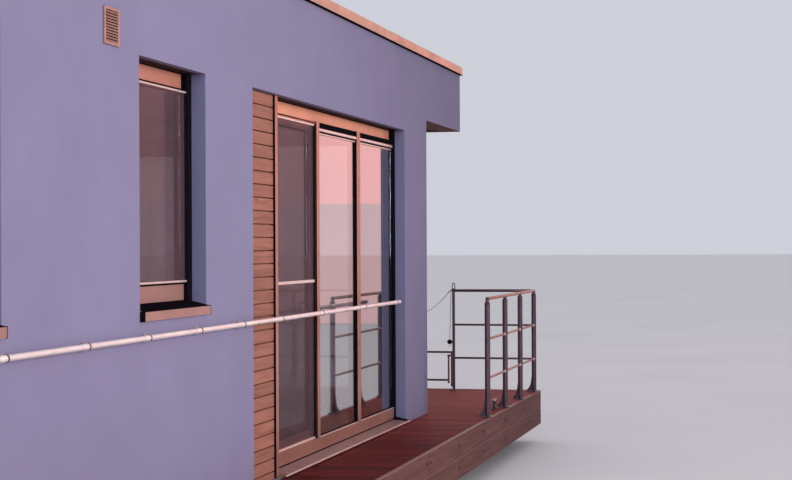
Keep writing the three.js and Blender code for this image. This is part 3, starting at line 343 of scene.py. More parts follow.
# Floor at the waterline, and soft light: a pale even light all round, one broad soft box abeam to
# starboard, two warm ones ahead of the bow that the panes and the metal mirror, and a cool one astern.
WATERLINE, FLOOR_HALF = 0.5, 300
shape = bmesh.new()
for x, y in ((-1, -1), (1, -1), (1, 1), (-1, 1)):
    shape.verts.new((x * FLOOR_HALF, y * FLOOR_HALF, WATERLINE))
shape.faces.new(shape.verts)
floor_mesh = bpy.data.meshes.new("floor")
shape.to_mesh(floor_mesh)
shape.free()
floor = bpy.data.objects.new("floor", floor_mesh)
floor_finish = Finish("pale_floor", 0.8)
floor_finish.colour(floor_finish.tones((0.4, 2), (0.78, 0.74, 0.73), (0.82, 0.78, 0.77)))
floor_mesh.materials.append(floor_finish.material)
scene.collection.objects.link(floor)

SKY_COLOUR, SKY_STRENGTH = (0.82, 0.84, 0.93, 1), 0.75
scene.view_settings.view_transform = "Standard"
world = bpy.data.worlds.new("pale_sky")
world.use_nodes = True
sky = world.node_tree.nodes["Background"]
sky.inputs["Color"].default_value = SKY_COLOUR
sky.inputs["Strength"].default_value = SKY_STRENGTH
scene.world = world


def soft_box(name, place, target, size, power, tint, spread=60):
    """A broad lamp aimed at a point of the boat."""
    lamp = bpy.data.lights.new(name, "AREA")
    lamp.shape = "RECTANGLE"
    lamp.size, lamp.size_y = size
    lamp.spread = math.radians(spread)
    lamp.energy, lamp.color = power, tint
    holder = bpy.data.objects.new(name, lamp)
    holder.location = place
    holder.rotation_euler = (Vector(target) - Vector(place)).to_track_quat("-Z", "Y").to_euler()
    scene.collection.objects.link(holder)


soft_box("soft_box_abeam", (-2.6, -17, 5), (-2.2, -1.9, 2.4), (8, 6), 360, (1.0, 0.96, 0.97), 70)
soft_box("soft_box_ahead", (30, -11.5, 8.4), (2, -2, 2.5), (18, 10), 62, (1.0, 0.13, 0.05))
soft_box("soft_box_ahead_low", (30, -11.5, 1.98), (2, -2, 2.1), (18, 3), 6.5, (1.0, 0.16, 0.08))
soft_box("soft_box_astern", (-32, -6.5, 6.5), (2, -2, 2.2), (14, 9), 640, (0.56, 0.8, 1.0))

# Floats: two flat-bottomed hulls of welded sheet with raked ends, painted slate grey, with weld beads at
# the bulkheads and a band of scum round the waterline.
BULKHEADS = (-4.2, -2.2, -0.2, 1.8, 3.8)
FLOAT_CHINE = 0.13
BEAD, BEAD_BACK = 0.004, 0.01
EDGE_STEPS, EDGE_ANGLE = 2, math.radians(40)


def dress(node, finish, edge=0.0):
    """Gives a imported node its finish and, where an edge is given, rounds its edges by a modifier."""
    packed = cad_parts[node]
    packed.data.materials.clear()
    packed.data.materials.append(finish.material)
    if edge:
        rounding = packed.modifiers.new("rounded edges", "BEVEL")
        rounding.width, rounding.segments = edge, EDGE_STEPS
        rounding.limit_method, rounding.angle_limit = "ANGLE", EDGE_ANGLE
        rounding.use_clamp_overlap = True


float_paint = Finish("float_paint", 0.45, 0.1)
hull_tone = float_paint.tones((2.2, 6), from_screen(62, 66, 74), from_screen(84, 88, 96), 0.75)
level = float_paint.node("SeparateXYZ", Vector=float_paint.place()).outputs["Z"]
wavy = float_paint.sums("ADD", level, float_paint.sums("MULTIPLY", float_paint.noise(3, 5), 0.12))
scum = float_paint.span(wavy, WATERLINE, 0.62, 1.0, 0.0)
float_paint.colour(float_paint.blend(scum, hull_tone, from_screen(70, 72, 52)))
float_paint.wear((9, 4), 0.32, 0.6)
float_paint.relief(float_paint.noise(5, 3), 0.25, 0.01)
for name in ("float_starboard", "float_port"):
    dress(name, float_paint, 0.012)
    low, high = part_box(name)
    shape = bmesh.new()
    for x in BULKHEADS:
        for y, inward in ((low.y, 1), (high.y, -1)):
            bead = [
                (x, y, high.z - BEAD_BACK),
                (x, y, low.z + FLOAT_CHINE),
                (x, y + inward * (FLOAT_CHINE - BEAD_BACK), low.z + 0.012),
            ]
            swept(shape, bead, rounds(BEAD, 8))
    fitted("weld_beads_" + name, shape, float_paint)

# Deck frame: a welded steel grillage under the boards, with the arms and the plate that carry the motor. It
# is primed and painted dark grey, with a little rust where the paint is thin.
frame_paint = Finish("frame_paint", 0.55, 0.2)
frame_paint.colour(frame_paint.ramp(
    frame_paint.noise(7, 6),
    (0.25, from_screen(58, 46, 42)),
    (0.45, from_screen(66, 68, 72)),
    (0.8, from_screen(82, 84, 88)),
))
frame_paint.relief(frame_paint.noise(140, 3), 0.3, 0.001)
dress("deck_frame", frame_paint, 0.004)

# Deck: oiled hardwood boards laid across the boat on the steel frame, with open joints. Each is held by two
# steel screws at every joist. Towards both ends of the boat the boards turn lighter and pinker: a painted
# sheen, the warm sky's reflection on the far deck.
BOARD_PITCH, BOARD_JOINT = 0.145, 0.006
BOARD_THICK, BOARD_EDGE = 0.026, 0.003
NARROWEST_BOARD, NARROWEST_SCREWED = 0.025, 0.1
SCREW_INSET = 0.028
DECK_TOP = 1.0
DECK_BOW = 6.929
JOISTS_ACROSS = (-2.38, -1.8, -1.2, -0.6, 0.0, 0.6, 1.2, 1.8, 2.38)
GRAIN_STOPS = (0.32, 0.5, 0.68)
SHEEN_FROM, SHEEN_TO = 2.6, 6.9


def chamfered(shape, low, high, edge, tone=0.5):
    """A block with its edges planed off. Its tone says how dark this one board or sheet is."""
    tones = shape.faces.layers.float.get("tone") or shape.faces.layers.float.new("tone")
    corners = {}
    for sx in (0, 1):
        for sy in (0, 1):
            for sz in (0, 1):
                at = [(low[i], high[i])[s] for i, s in enumerate((sx, sy, sz))]
                inward = [edge if s == 0 else -edge for s in (sx, sy, sz)]
                for axis in range(3):
                    corner = [at[i] + (0 if i == axis else inward[i]) for i in range(3)]
                    corners[(sx, sy, sz), axis] = shape.verts.new(corner)
    faces = []
    for axis in range(3):
        a, b = [i for i in range(3) if i != axis]
        for s in (0, 1):
            ring = []
            for sa, sb in ((0, 0), (1, 0), (1, 1), (0, 1)):
                key = [0, 0, 0]
                key[axis], key[a], key[b] = s, sa, sb
                ring.append(corners[tuple(key), axis])
            faces.append(shape.faces.new(ring))
        for sa in (0, 1):
            for sb in (0, 1):
                key = [0, 0, 0]
                key[a], key[b] = sa, sb
                start, end = list(key), list(key)
                end[axis] = 1
                start, end = tuple(start), tuple(end)
                around = (corners[start, a], corners[end, a], corners[end, b], corners[start, b])
                faces.append(shape.faces.new(around))
    for key in [(sx, sy, sz) for sx in (0, 1) for sy in (0, 1) for sz in (0, 1)]:
        faces.append(shape.faces.new([corners[key, axis] for axis in range(3)]))
    for face in faces:
        face[tones] = tone


def screw(shape, at, way, radius=0.004):
    """A countersunk screw head, a hair proud of the wood."""
    head = [(0, radius), (0.0024, radius), (0.0026, radius * 0.7), (0.0016, radius * 0.35)]
    turned(shape, Vector(at) - Vector(way) * 0.002, way, head, 8)


def timber(
    name, along, colours, roughness,
    coarse=1.0, knots=0.0, shades=(0.78, 1.18), sky_sheen_colours=(), shine=0.5,
):
    """Wood with its grain along one axis. Each board has its own tone and its own place in the grain."""
    wood = Finish(name, sum(roughness) / 2)
    tone = wood.node("Attribute")
    tone.attribute_name = "tone"
    shift = wood.sums("MULTIPLY", tone.outputs["Fac"], 37.0)
    stretch = [14.0 * coarse] * 3
    stretch[along] = 0.9 * coarse
    figure = wood.noise(1.0, 5, stretch, 0.6, shift, 1.2)
    stretch = [160.0] * 3
    stretch[along] = 5.0
    fibre = wood.noise(1.0, 3, stretch, 0.6, shift)
    mixed = wood.sums("ADD", wood.sums("MULTIPLY", figure, 0.72), wood.sums("MULTIPLY", fibre, 0.28))
    grain = wood.ramp(mixed, *zip(GRAIN_STOPS, colours))
    # Towards the ends of the boat the grain takes lighter, pinker colours: a painted sheen of the sky's
    # reflection.
    if sky_sheen_colours:
        from_middle = wood.sums("ABSOLUTE", wood.node("SeparateXYZ", Vector=wood.place()).outputs["X"])
        from_middle = wood.sums("ADD", from_middle, wood.sums("MULTIPLY", wood.noise(1.3, 4), 1.2))
        pale = wood.ramp(mixed, *zip(GRAIN_STOPS, sky_sheen_colours))
        grain = wood.blend(wood.span(from_middle, SHEEN_FROM, SHEEN_TO, 0.0, 1.0), grain, pale)
    shade = wood.span(tone.outputs["Fac"], 0, 1, *shades)
    tint = wood.node("CombineColor", Red=shade, Green=shade, Blue=shade)
    grain = wood.blend(1.0, grain, tint.outputs[0], "MULTIPLY")
    if knots:
        stretch = [9.0] * 3
        stretch[along] = 3.0
        cells = wood.node("TexVoronoi", Vector=wood.place(stretch, shift), Scale=1.0)
        spot = wood.span(cells.outputs["Distance"], 0.05, 0.13, knots, 0.0)
        grain = wood.blend(spot, grain, tuple(c * 0.3 for c in colours[0]))
    wood.colour(grain)
    wood.roughness(wood.span(fibre, 0.3, 0.7, *roughness))
    wood.relief(mixed, 0.35, 0.0012)
    wood.shader.inputs["Specular IOR Level"].default_value = shine
    return wood


deck_wood = timber(
    "deck_hardwood",
    1,
    (from_screen(52, 8, 10), from_screen(90, 22, 21), from_screen(112, 36, 32)),
    (0.5, 0.7),
    sky_sheen_colours=(from_screen(116, 46, 41), from_screen(156, 70, 61), from_screen(180, 94, 82)),
    shine=0.05,
)
screw_steel = Finish("screw_steel", 0.35, 1.0)
screw_steel.colour(screw_steel.tones((300,), from_screen(96, 80, 82), from_screen(150, 130, 128)))
pick = random.Random(7)
for name, joists in (
    ("deck_terrace", JOISTS_ACROSS),
    ("deck_stern", JOISTS_ACROSS),
    ("deck_side_starboard", (-2.4, -1.98)),
    ("deck_side_port", (1.98, 2.4)),
):
    low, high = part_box(name)
    shape, heads = bmesh.new(), bmesh.new()
    front = DECK_BOW
    while front > low.x:
        x0 = max(front - BOARD_PITCH, low.x)
        x1 = min(front - (0 if front == DECK_BOW else BOARD_JOINT), high.x)
        front -= BOARD_PITCH
        if x1 - x0 < NARROWEST_BOARD:
            continue
        top = DECK_TOP - pick.uniform(0, 0.001)
        chamfered(shape, (x0, low.y, DECK_TOP - BOARD_THICK), (x1, high.y, top), BOARD_EDGE, pick.random())
        for y in joists:
            for x in (x0 + SCREW_INSET, x1 - SCREW_INSET):
                if x1 - x0 > NARROWEST_SCREWED:
                    screw(heads, (x + pick.uniform(-0.002, 0.002), y, top), (0, 0, 1))
    fitted(name.replace("deck", "boards"), shape, deck_wood, replaces=[name])
    fitted(name.replace("deck", "screws"), heads, screw_steel)

# Fascia: two brown boards, one over the other, on edge round the frame in lengths of five metres. Dark caps
# cover the bolts, and a thin metal edging runs along the top and between the boards.
FASCIA_SEAM = (0.827, 0.832)
FASCIA_LENGTH, FASCIA_SHORTEST = 5.1, 0.8
FASCIA_BUTT = 0.007
CAP_PITCH, CAP_INSET, CAP_DEPTH = 1.03, 0.05, 0.0032
BOLT_CAP = [(0, 0.0105), (0.0016, 0.0105), (0.0026, 0.0078), (0.003, 0.004)]
EDGING = 0.006
fascia_colours = (from_screen(60, 28, 29), from_screen(88, 47, 43), from_screen(108, 62, 56))
fascia_wood = (
    timber("fascia_brown_side", 0, fascia_colours, (0.6, 0.8), 1.6, shine=0.25),
    timber("fascia_brown_end", 1, fascia_colours, (0.6, 0.8), 1.6, shine=0.25),
)
edging_metal = Finish("edging_metal", 0.5, 0.5)
edging_metal.colour(edging_metal.tones((12,), from_screen(126, 88, 82), from_screen(154, 112, 102)))
pick = random.Random(11)
for name, along in (("fascia_starboard", 0), ("fascia_port", 0), ("fascia_bow", 1), ("fascia_stern", 1)):
    low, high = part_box(name)
    across = 1 - along
    outer = low[across] if (low[across] + high[across]) < 0 else high[across]
    way = Vector((0, 0, 0))
    way[across] = 1 if outer == high[across] else -1
    shape, heads = bmesh.new(), bmesh.new()
    end = high[along]
    while end > low[along] + 0.01:
        start = max(end - FASCIA_LENGTH, low[along])
        if start - low[along] < FASCIA_SHORTEST:
            start = low[along]
        for z0, z1 in ((low.z, FASCIA_SEAM[0]), (FASCIA_SEAM[1], high.z - EDGING)):
            a, b = list(low), list(high)
            a[along] = start + (FASCIA_BUTT / 2 if start > low[along] else 0)
            b[along] = end - (FASCIA_BUTT / 2 if end < high[along] else 0)
            a[2], b[2] = z0, z1
            a[across] += CAP_DEPTH if way[across] < 0 else 0
            b[across] -= CAP_DEPTH if way[across] > 0 else 0
            chamfered(shape, a, b, 0.0035, pick.random())
            count = max(2, round((b[along] - a[along]) / CAP_PITCH) + 1)
            for i in range(count):
                at = Vector((0, 0, 0.45 * z0 + 0.55 * z1))
                at[along] = a[along] + CAP_INSET + i * (b[along] - a[along] - 2 * CAP_INSET) / (count - 1)
                at[across] = outer - way[across] * CAP_DEPTH
                turned(heads, at, way, BOLT_CAP, 12)
        end = start
    fitted(name + "_boards", shape, fascia_wood[along], replaces=[name])
    fitted(name + "_bolt_caps", heads, plastic_and_shade_black)
    shape = bmesh.new()
    a, b = list(low), list(high)
    a[2] = high.z - EDGING + 0.0005
    chamfered(shape, a, b, 0.0015)
    a[2], b[2] = FASCIA_SEAM[0] + 0.0003, FASCIA_SEAM[1] - 0.0003
    for end in (a, b):
        end[across] -= way[across] * 0.0003
    chamfered(shape, a, b, 0.0004)
    fitted(name + "_edging", shape, edging_metal)

# Cabin floor: satin oak planks laid along the cabin between the walls, glued down on a sheet of underlay.
# The joints of each row stand a third of a plank from those of the row beside it.
PLANK_WIDTH, PLANK_LENGTH, PLANK_THICK = 0.19, 2.2, 0.014
PLANK_JOINT = 0.0004
oak_colours = (from_screen(122, 92, 66), from_screen(158, 124, 92), from_screen(184, 150, 116))
oak = timber("cabin_oak", 0, oak_colours, (0.3, 0.45))
low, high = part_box("cabin_floor")
pick = random.Random(3)
shape = bmesh.new()
y, row = low.y, 0
while y < high.y - 0.01:
    x = low.x - (row % 3) * PLANK_LENGTH / 3
    while x < high.x:
        a, b = max(x, low.x), min(x + PLANK_LENGTH, high.x)
        if b - a > 0.05:
            far_corner = (b - PLANK_JOINT, min(y + PLANK_WIDTH, high.y) - PLANK_JOINT, high.z)
            chamfered(shape, (a, y, high.z - PLANK_THICK), far_corner, 0.0012, pick.random())
        x += PLANK_LENGTH
    y += PLANK_WIDTH
    row += 1
chamfered(shape, low, (high.x, high.y, high.z - PLANK_THICK - 0.0005), 0.001, 0.4)
fitted("cabin_planks", shape, oak, replaces=["cabin_floor"])

# Walls: insulated timber panels with a fine float-finished render outside, tinted lavender grey, and a
# painted lining inside. The side walls run on over the terrace as the cheeks of the overhang.
LINING_HALF, LINING_REAR, LINING_FRONT, LINING_TOP = 1.7206, -5.1216, 4.3196, 3.546
RENDER_LIGHT = (0.19, 0.163, 0.262)
RENDER_DARK = (0.167, 0.142, 0.234)
RENDER_SPLASHED = (0.115, 0.094, 0.136)
LINING_COLOUR = (0.62, 0.6, 0.58)
wall_render = Finish("lavender_render", 0.88)
mottle = wall_render.ramp(wall_render.noise(1.6, 6, rough=0.65), (0.3, RENDER_DARK), (0.7, RENDER_LIGHT))
speck = wall_render.span(wall_render.noise(420, 2), 0.3, 0.7, 0.9, 1.08)
speck = wall_render.node("CombineColor", Red=speck, Green=speck, Blue=speck).outputs[0]
mottle = wall_render.blend(1.0, mottle, speck, "MULTIPLY")
where = wall_render.node("SeparateXYZ", Vector=wall_render.place())
drift = wall_render.sums("MULTIPLY", wall_render.noise(5, 5), 0.3)
splash = wall_render.sums("ADD", where.outputs["Z"], drift)
mottle = wall_render.blend(wall_render.span(splash, 1.12, 1.36, 0.28, 0.0), mottle, RENDER_SPLASHED)
within = wall_render.sums("LESS_THAN", wall_render.sums("ABSOLUTE", where.outputs["Y"]), LINING_HALF)
for way, axis, limit in (
    ("GREATER_THAN", "X", LINING_REAR),
    ("LESS_THAN", "X", LINING_FRONT),
    ("LESS_THAN", "Z", LINING_TOP),
):
    within = wall_render.sums("MULTIPLY", within, wall_render.sums(way, where.outputs[axis], limit))
wall_render.colour(wall_render.blend(within, mottle, LINING_COLOUR))
float_marks = wall_render.sums("MULTIPLY", wall_render.noise(38, 3), 0.8)
float_marks = wall_render.sums("ADD", wall_render.noise(330, 4, rough=0.7), float_marks)
wall_render.relief(float_marks, 0.4, 0.0022)
for name in ("wall_starboard", "wall_port", "wall_front", "wall_rear", "overhang_fascia"):
    dress(name, wall_render, 0.003)

# Roof: an insulated deck between the walls under a grey sheet membrane, welded at the laps and turned up
# against the parapet, with two outlets and a low vent cowl. Its underside is the painted ceiling.
LAP, SHEET_WIDTH, SHEET_THICK = 0.05, 1.5, 0.002
UPSTAND, UPSTAND_THICK = 0.13, 0.003
OUTLET_Y, OUTLET_INSET, COWL_PLACE = 1.35, 0.4, (1.2, 0.9)
roof_skin = Finish("roof_membrane", 0.75)
tone = roof_skin.node("Attribute")
tone.attribute_name = "tone"
grey = roof_skin.tones((1.4, 6), (0.11, 0.11, 0.12), (0.17, 0.17, 0.18))
puddle = roof_skin.span(roof_skin.noise(0.7, 4), 0.5, 0.62, 0.0, 0.45)
grey = roof_skin.blend(puddle, grey, (0.075, 0.07, 0.066))
bald = roof_skin.span(tone.outputs["Fac"], 0, 1, 0.0, 0.16)
roof_skin.colour(roof_skin.blend(bald, grey, (0.3, 0.3, 0.31)))
roof_skin.relief(roof_skin.noise(500, 2), 0.3, 0.0008)
ceiling_paint = Finish("ceiling_paint", 0.8)
ceiling_paint.colour(ceiling_paint.tones((3,), (0.64, 0.62, 0.6), (0.7, 0.68, 0.66)))
dress("roof_slab", ceiling_paint)
low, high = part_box("roof_slab")
shape = bmesh.new()
x, row = low.x, 0
while x < high.x - 0.02:
    end = min(x + SHEET_WIDTH, high.x)
    lift = SHEET_THICK * (row % 2)
    near_corner = (max(x - LAP, low.x), low.y, high.z + 0.0002 + lift)
    far_corner = (min(end + LAP, high.x), high.y, high.z + SHEET_THICK + lift)
    chamfered(shape, near_corner, far_corner, 0.0008, pick.random())
    x, row = end, row + 1
skin_top = high.z + 2 * SHEET_THICK
for x, y in (
    ((low.x, high.x), (low.y, low.y + UPSTAND_THICK)),
    ((low.x, high.x), (high.y - UPSTAND_THICK, high.y)),
    ((low.x, low.x + UPSTAND_THICK), (low.y, high.y)),
    ((high.x - UPSTAND_THICK, high.x), (low.y, high.y)),
):
    chamfered(shape, (x[0], y[0], skin_top), (x[1], y[1], skin_top + UPSTAND), 0.001, pick.random())
fitted("roof_membrane_sheets", shape, roof_skin)
outlet_metal = Finish("outlet_metal", 0.45, 0.9)
outlet_metal.colour(outlet_metal.tones((20,), (0.28, 0.28, 0.29), (0.42, 0.42, 0.43)))
shape = bmesh.new()
outlet = [(0, 0.1), (0.004, 0.1), (0.007, 0.075), (0.02, 0.072), (0.028, 0.05), (0.03, 0.01)]
for y in (-OUTLET_Y, OUTLET_Y):
    turned(shape, (low.x + OUTLET_INSET, y, skin_top), (0, 0, 1), outlet, 24)
cowl = [
    (0, 0.16), (0.004, 0.16), (0.01, 0.062), (0.11, 0.06), (0.112, 0.05),
    (0.13, 0.05), (0.131, 0.1), (0.15, 0.094), (0.165, 0.05), (0.17, 0.01),
]
turned(shape, (*COWL_PLACE, skin_top), (0, 0, 1), cowl, 32)
fitted("roof_outlets", shape, outlet_metal)

# Roof cap: folded sheet over the parapet in long lengths, with a drip edge and a cover strip at each joint.
# A dark strip under its drip edge, along the render of the side walls, paints the shadow that the edge casts.
CAP_WIDTH = 0.226
CAP_JOINTS, CAP_END_JOINTS = (0.9, -2.1, -5.1), (-0.6, 0.6)
CAP_FOLD = 0.004
COVER_HALF, COVER_THICK = 0.03, 0.0042
WALL_FACE = 1.9
low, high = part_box("roof_cap")
section = [
    (0, low.z + 0.0002),
    (0, low.z + 0.005),
    (CAP_FOLD, low.z + 0.011),
    (CAP_FOLD, high.z - 0.007),
    (CAP_FOLD + 0.006, high.z),
    (CAP_WIDTH - 0.005, high.z - 0.008),
    (CAP_WIDTH, high.z - 0.013),
    (CAP_WIDTH, low.z + 0.0002),
]
corners = ((low.x, low.y, 1, 1), (high.x, low.y, -1, 1), (high.x, high.y, -1, -1), (low.x, high.y, 1, -1))
shape = bmesh.new()
loops = []
for inward, z in section:
    loops.append([shape.verts.new((x + sx * inward, y + sy * inward, z)) for x, y, sx, sy in corners])
for k in range(len(loops)):
    first, second = loops[k], loops[(k + 1) % len(loops)]
    for i in range(4):
        n = (i + 1) % 4
        shape.faces.new((first[i], first[n], second[n], second[i]))
cap_metal = Finish("cap_sheet", 0.38, 0.55)
cap_metal.colour(cap_metal.tones((2.4, 5), from_screen(176, 134, 110), from_screen(196, 152, 126)))
cap_metal.wear((30, 4, (0.2, 1, 1)), 0.3, 0.5)
cap_metal.relief(cap_metal.noise(1.2, 2), 0.2, 0.01)
fitted("roof_cap_sheet", shape, cap_metal, replaces=["roof_cap"])
covers = []
for x in CAP_JOINTS:
    for y in ((low.y, low.y + COVER_THICK), (high.y - COVER_THICK, high.y)):
        covers.append(((x - COVER_HALF, x + COVER_HALF), y))
for y in CAP_END_JOINTS:
    for x in ((low.x, low.x + COVER_THICK), (high.x - COVER_THICK, high.x)):
        covers.append((x, (y - COVER_HALF, y + COVER_HALF)))
shape = bmesh.new()
for x, y in covers:
    chamfered(shape, (x[0], y[0], low.z + 0.012), (x[1], y[1], high.z - 0.006), 0.0008)
fitted("cap_joint_covers", shape, cap_metal)
# Painted shadow: a dark strip under the cap's drip edge along both side walls.
shape = bmesh.new()
for y0, y1 in ((low.y + 0.001, -WALL_FACE - 0.0001), (WALL_FACE + 0.0001, high.y - 0.001)):
    chamfered(shape, (low.x + 0.001, y0, low.z - 0.006), (high.x - 0.001, y1, low.z + 0.0001), 0.001)
fitted("cap_shadow_strip", shape, plastic_and_shade_black)

# Soffit of the overhang: tongued dark boards nailed up with a shadow groove at each joint, matching boards
# under the cheeks and the front fascia, and three small downlights let into the boards.
CHEEK_X, CHEEK_UNDER = (4.5005, 5.9535), 3.5
CHEEK_Y, END_BOARD_X, END_BOARD_HALF = (1.72, 1.8985), 5.836, 1.7195
DOWNLIGHT_X, DOWNLIGHT_PITCH = 5.15, 1.14
soffit_colours = (from_screen(64, 26, 17), from_screen(100, 46, 30), from_screen(122, 62, 44))
soffit_wood = timber("soffit_dark", 0, soffit_colours, (0.6, 0.75), shine=0.1)
dress("soffit", soffit_wood)
lamp_glass = Finish("lamp_lens", 0.3)
lamp_glass.colour(lamp_glass.tones((80,), (0.72, 0.68, 0.6), (0.8, 0.77, 0.7)))
shape = bmesh.new()
for x0, y0, y1 in (
    (CHEEK_X[0], -CHEEK_Y[1], -CHEEK_Y[0]),
    (CHEEK_X[0], *CHEEK_Y),
    (END_BOARD_X, -END_BOARD_HALF, END_BOARD_HALF),
):
    chamfered(shape, (x0, y0, CHEEK_UNDER - 0.0035), (CHEEK_X[1], y1, CHEEK_UNDER + 0.0002), 0.001, 0.4)
fitted("cheek_boards", shape, soffit_wood)
low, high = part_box("soffit")
shape, lenses = bmesh.new(), bmesh.new()
ring = [(0, 0.045), (0.003, 0.045), (0.005, 0.041), (0.005, 0.033), (0.002, 0.031)]
lens_profile = [(0, 0.03), (0.0025, 0.03), (0.0035, 0.02), (0.004, 0.004)]
for y in (-DOWNLIGHT_PITCH, 0.0, DOWNLIGHT_PITCH):
    turned(shape, (DOWNLIGHT_X, y, low.z + 0.001), (0, 0, -1), ring, 24)
    turned(lenses, (DOWNLIGHT_X, y, low.z + 0.001), (0, 0, -1), lens_profile, 24)
fitted("downlight_rings", shape, outlet_metal)
fitted("downlight_lenses", lenses, lamp_glass)

# Cladding beside the side doors: larch boards laid level on battens, with open joints. Each board is held
# by a stainless screw at either end.
SIDES = ((-1, "starboard"), (1, "port"))
CLADDING_PITCH, CLADDING_JOINT, CLADDING_INSET = 0.08, 0.006, 0.03
CLADDING_FACE, CLADDING_THICK = 1.859, 0.022
DOOR_HEAD = 3.365
larch_colours = (from_screen(108, 58, 45), from_screen(138, 82, 65), from_screen(154, 97, 79))
larch = timber("larch_cladding", 0, larch_colours, (0.6, 0.8), 1.4, 0.7, (0.88, 1.1))
pick = random.Random(23)
for side, name in SIDES:
    low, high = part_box("cladding_" + name)
    shape, heads = bmesh.new(), bmesh.new()
    face, back = side * CLADDING_FACE, side * (CLADDING_FACE - CLADDING_THICK)
    z = DOOR_HEAD
    while z > low.z + 0.01:
        z1 = min(z - CLADDING_JOINT / 2, high.z)
        z0 = max(z - CLADDING_PITCH + CLADDING_JOINT / 2, low.z)
        y = sorted((face, back))
        chamfered(shape, (low.x, y[0], z0), (high.x, y[1], z1), 0.0025, pick.random())
        for x in (low.x + CLADDING_INSET, high.x - CLADDING_INSET):
            screw(heads, (x, face, (z0 + z1) / 2 + pick.uniform(-0.004, 0.004)), (0, side, 0), 0.0032)
        z -= CLADDING_PITCH
    y = sorted((back - side * 0.0003, low.y if side > 0 else high.y))
    chamfered(shape, (low.x, y[0], low.z), (high.x, y[1], high.z), 0.001, 0.02)
    fitted("cladding_boards_" + name, shape, larch, replaces=["cladding_" + name])
    fitted("cladding_screws_" + name, heads, screw_steel)

# Side door units: powder-coated aluminium frames with a blind box at the head, guide rails on the mullions,
# black brush seals in the guides, a ledge under the panes and a ribbed tread plate at the foot. Black skins
# paint shade on the guides' sides, on the face of the fore guide, at the head of each pane, along the top
# of the blind box, in the gap at the trim and at the fore end of the tread.
TRIM_X, PANES_X, DOOR_FRONT = (0.336, 0.387), (0.437, 3.617), 3.6837
MULLIONS = ((1.465, 0.033), (2.541, 0.046))
GUIDE_DEPTH, SCREEN_DEPTH, PANE_DEPTH = 0.081, 0.0896, 0.099
PANE_Z, GUIDE_Z = (1.1263, 3.1947), (1.1263, 3.2797)
BOX_DEPTH, BOX_Z, BOX_SEAM = 0.115, (3.2797, 3.3647), 0.008
SEAL_WIDTH, SEAL_FOOT, SEAL_HEAD_Z = 0.008, 0.01, (3.2085, BOX_Z[0])
SKIN = 0.0012
REVEAL_FOOT = 1.034
FOOT_SEAL_Z = (1.0335, 1.041)
EDGE_SEAL_DEPTH, EDGE_SEAL_Z = (0.0275, 0.0615), (1.0005, BOX_Z[1])
SLAT_DEPTH, SLAT_Z = (0.0835, 0.0945), (3.219, 3.239)
HEAD_STRIP_DEPTH, HEAD_STRIP_Z = (0.093, 0.0986), (3.1985, 3.208)
LEDGE_DEPTH, LEDGE_Z = (GUIDE_DEPTH - 0.001, 0.0986), (PANE_Z[0] - 0.003, PANE_Z[0] + 0.002)
NOSING_DEPTH, NOSING_Z = (-0.0368, -0.0345), (1.0108, 1.0228)
LINTEL_Z = (DOOR_HEAD - 0.0035, DOOR_HEAD - 0.0002)
TREAD_PLUG = [(-0.031, 1.011), (-0.031, 1.0245), (0.0, 1.03), (0.0805, 1.048), (0.0805, 1.011)]
TREAD_RIBS, RIB_START, RIB_PITCH, RIB_WIDTH = 12, -0.03, 0.009, 0.0065
TREAD_FOOT, TREAD_SLOPE = (-0.036, 1.022), 0.011 / 0.117
WINDOWS = {"fore": (-1.9177, -0.9833), "aft": (-4.3117, -3.3773)}


def on_side(side, x, depth, z, edge, shape):
    """A block in a side wall: its depth counts inwards from the wall's outer face."""
    y = sorted(side * (WALL_FACE - d) for d in depth)
    chamfered(shape, (x[0], y[0], z[0]), (x[1], y[1], z[1]), edge)


def drawn_on_side(side, x, outline, shape):
    """A bar in a side wall, drawn along the boat from an outline of depths and levels."""
    skinned(shape, [[shape.verts.new((end, side * (WALL_FACE - d), z)) for d, z in outline] for end in x])


door_metal = Finish("door_powder_coat", 0.36, 0.6)
door_tone = door_metal.tones((1.8, 4), from_screen(164, 104, 84), from_screen(186, 126, 102))
where = door_metal.node("SeparateXYZ", Vector=door_metal.place())
dusty = door_metal.sums("ADD", where.outputs["Z"], door_metal.sums("MULTIPLY", door_metal.noise(6, 5), 0.4))
dust = door_metal.span(dusty, 1.2, 1.5, 0.55, 0.0)
door_metal.colour(door_metal.blend(dust, door_tone, from_screen(140, 100, 94)))
door_metal.wear((35, 3), 0.3, 0.46)
door_metal.relief(door_metal.noise(900, 2), 0.12, 0.0004)
# The door's blind box cover: a brighter copy of the box coat that the windows share, painted light.
door_box_lit_copy = Finish("door_box_coat_lit_copy", 0.42, 0.25)
door_box_lit_copy.colour(door_box_lit_copy.tones((2.2, 4), from_screen(200, 128, 96), from_screen(224, 150, 116)))
door_box_lit_copy.relief(door_box_lit_copy.noise(900, 2), 0.12, 0.0004)
# Dark strips under the lintels: painted shadow on the underside of each lintel.
lintel_shade_paint = Finish("lintel_shade_coat", 0.7, Specular_IOR_Level=0.05)
lintel_shade_paint.colour(lintel_shade_paint.tones((4, 4), from_screen(36, 20, 22), from_screen(54, 32, 34)))
light_metal = Finish("light_aluminium", 0.34, 0.5)
light_metal.colour(light_metal.tones((9, 4), from_screen(214, 182, 172), from_screen(234, 204, 196)))
light_metal.wear((60, 2), 0.28, 0.42)
tread_metal = Finish("tread_plate", 0.42, 0.7)
tread_metal.colour(tread_metal.tones((14, 5), from_screen(142, 112, 108), from_screen(172, 140, 132)))
glazing = Finish(
    "glazing",
    0.015,
    Transmission_Weight=1.0,
    IOR=1.55,
    Coat_Weight=1.0,
    Coat_Roughness=0.01,
    Coat_IOR=1.8,
)
glazing.colour(glazing.tones((0.5, 2), (0.64, 0.6, 0.61), (0.68, 0.64, 0.65)))

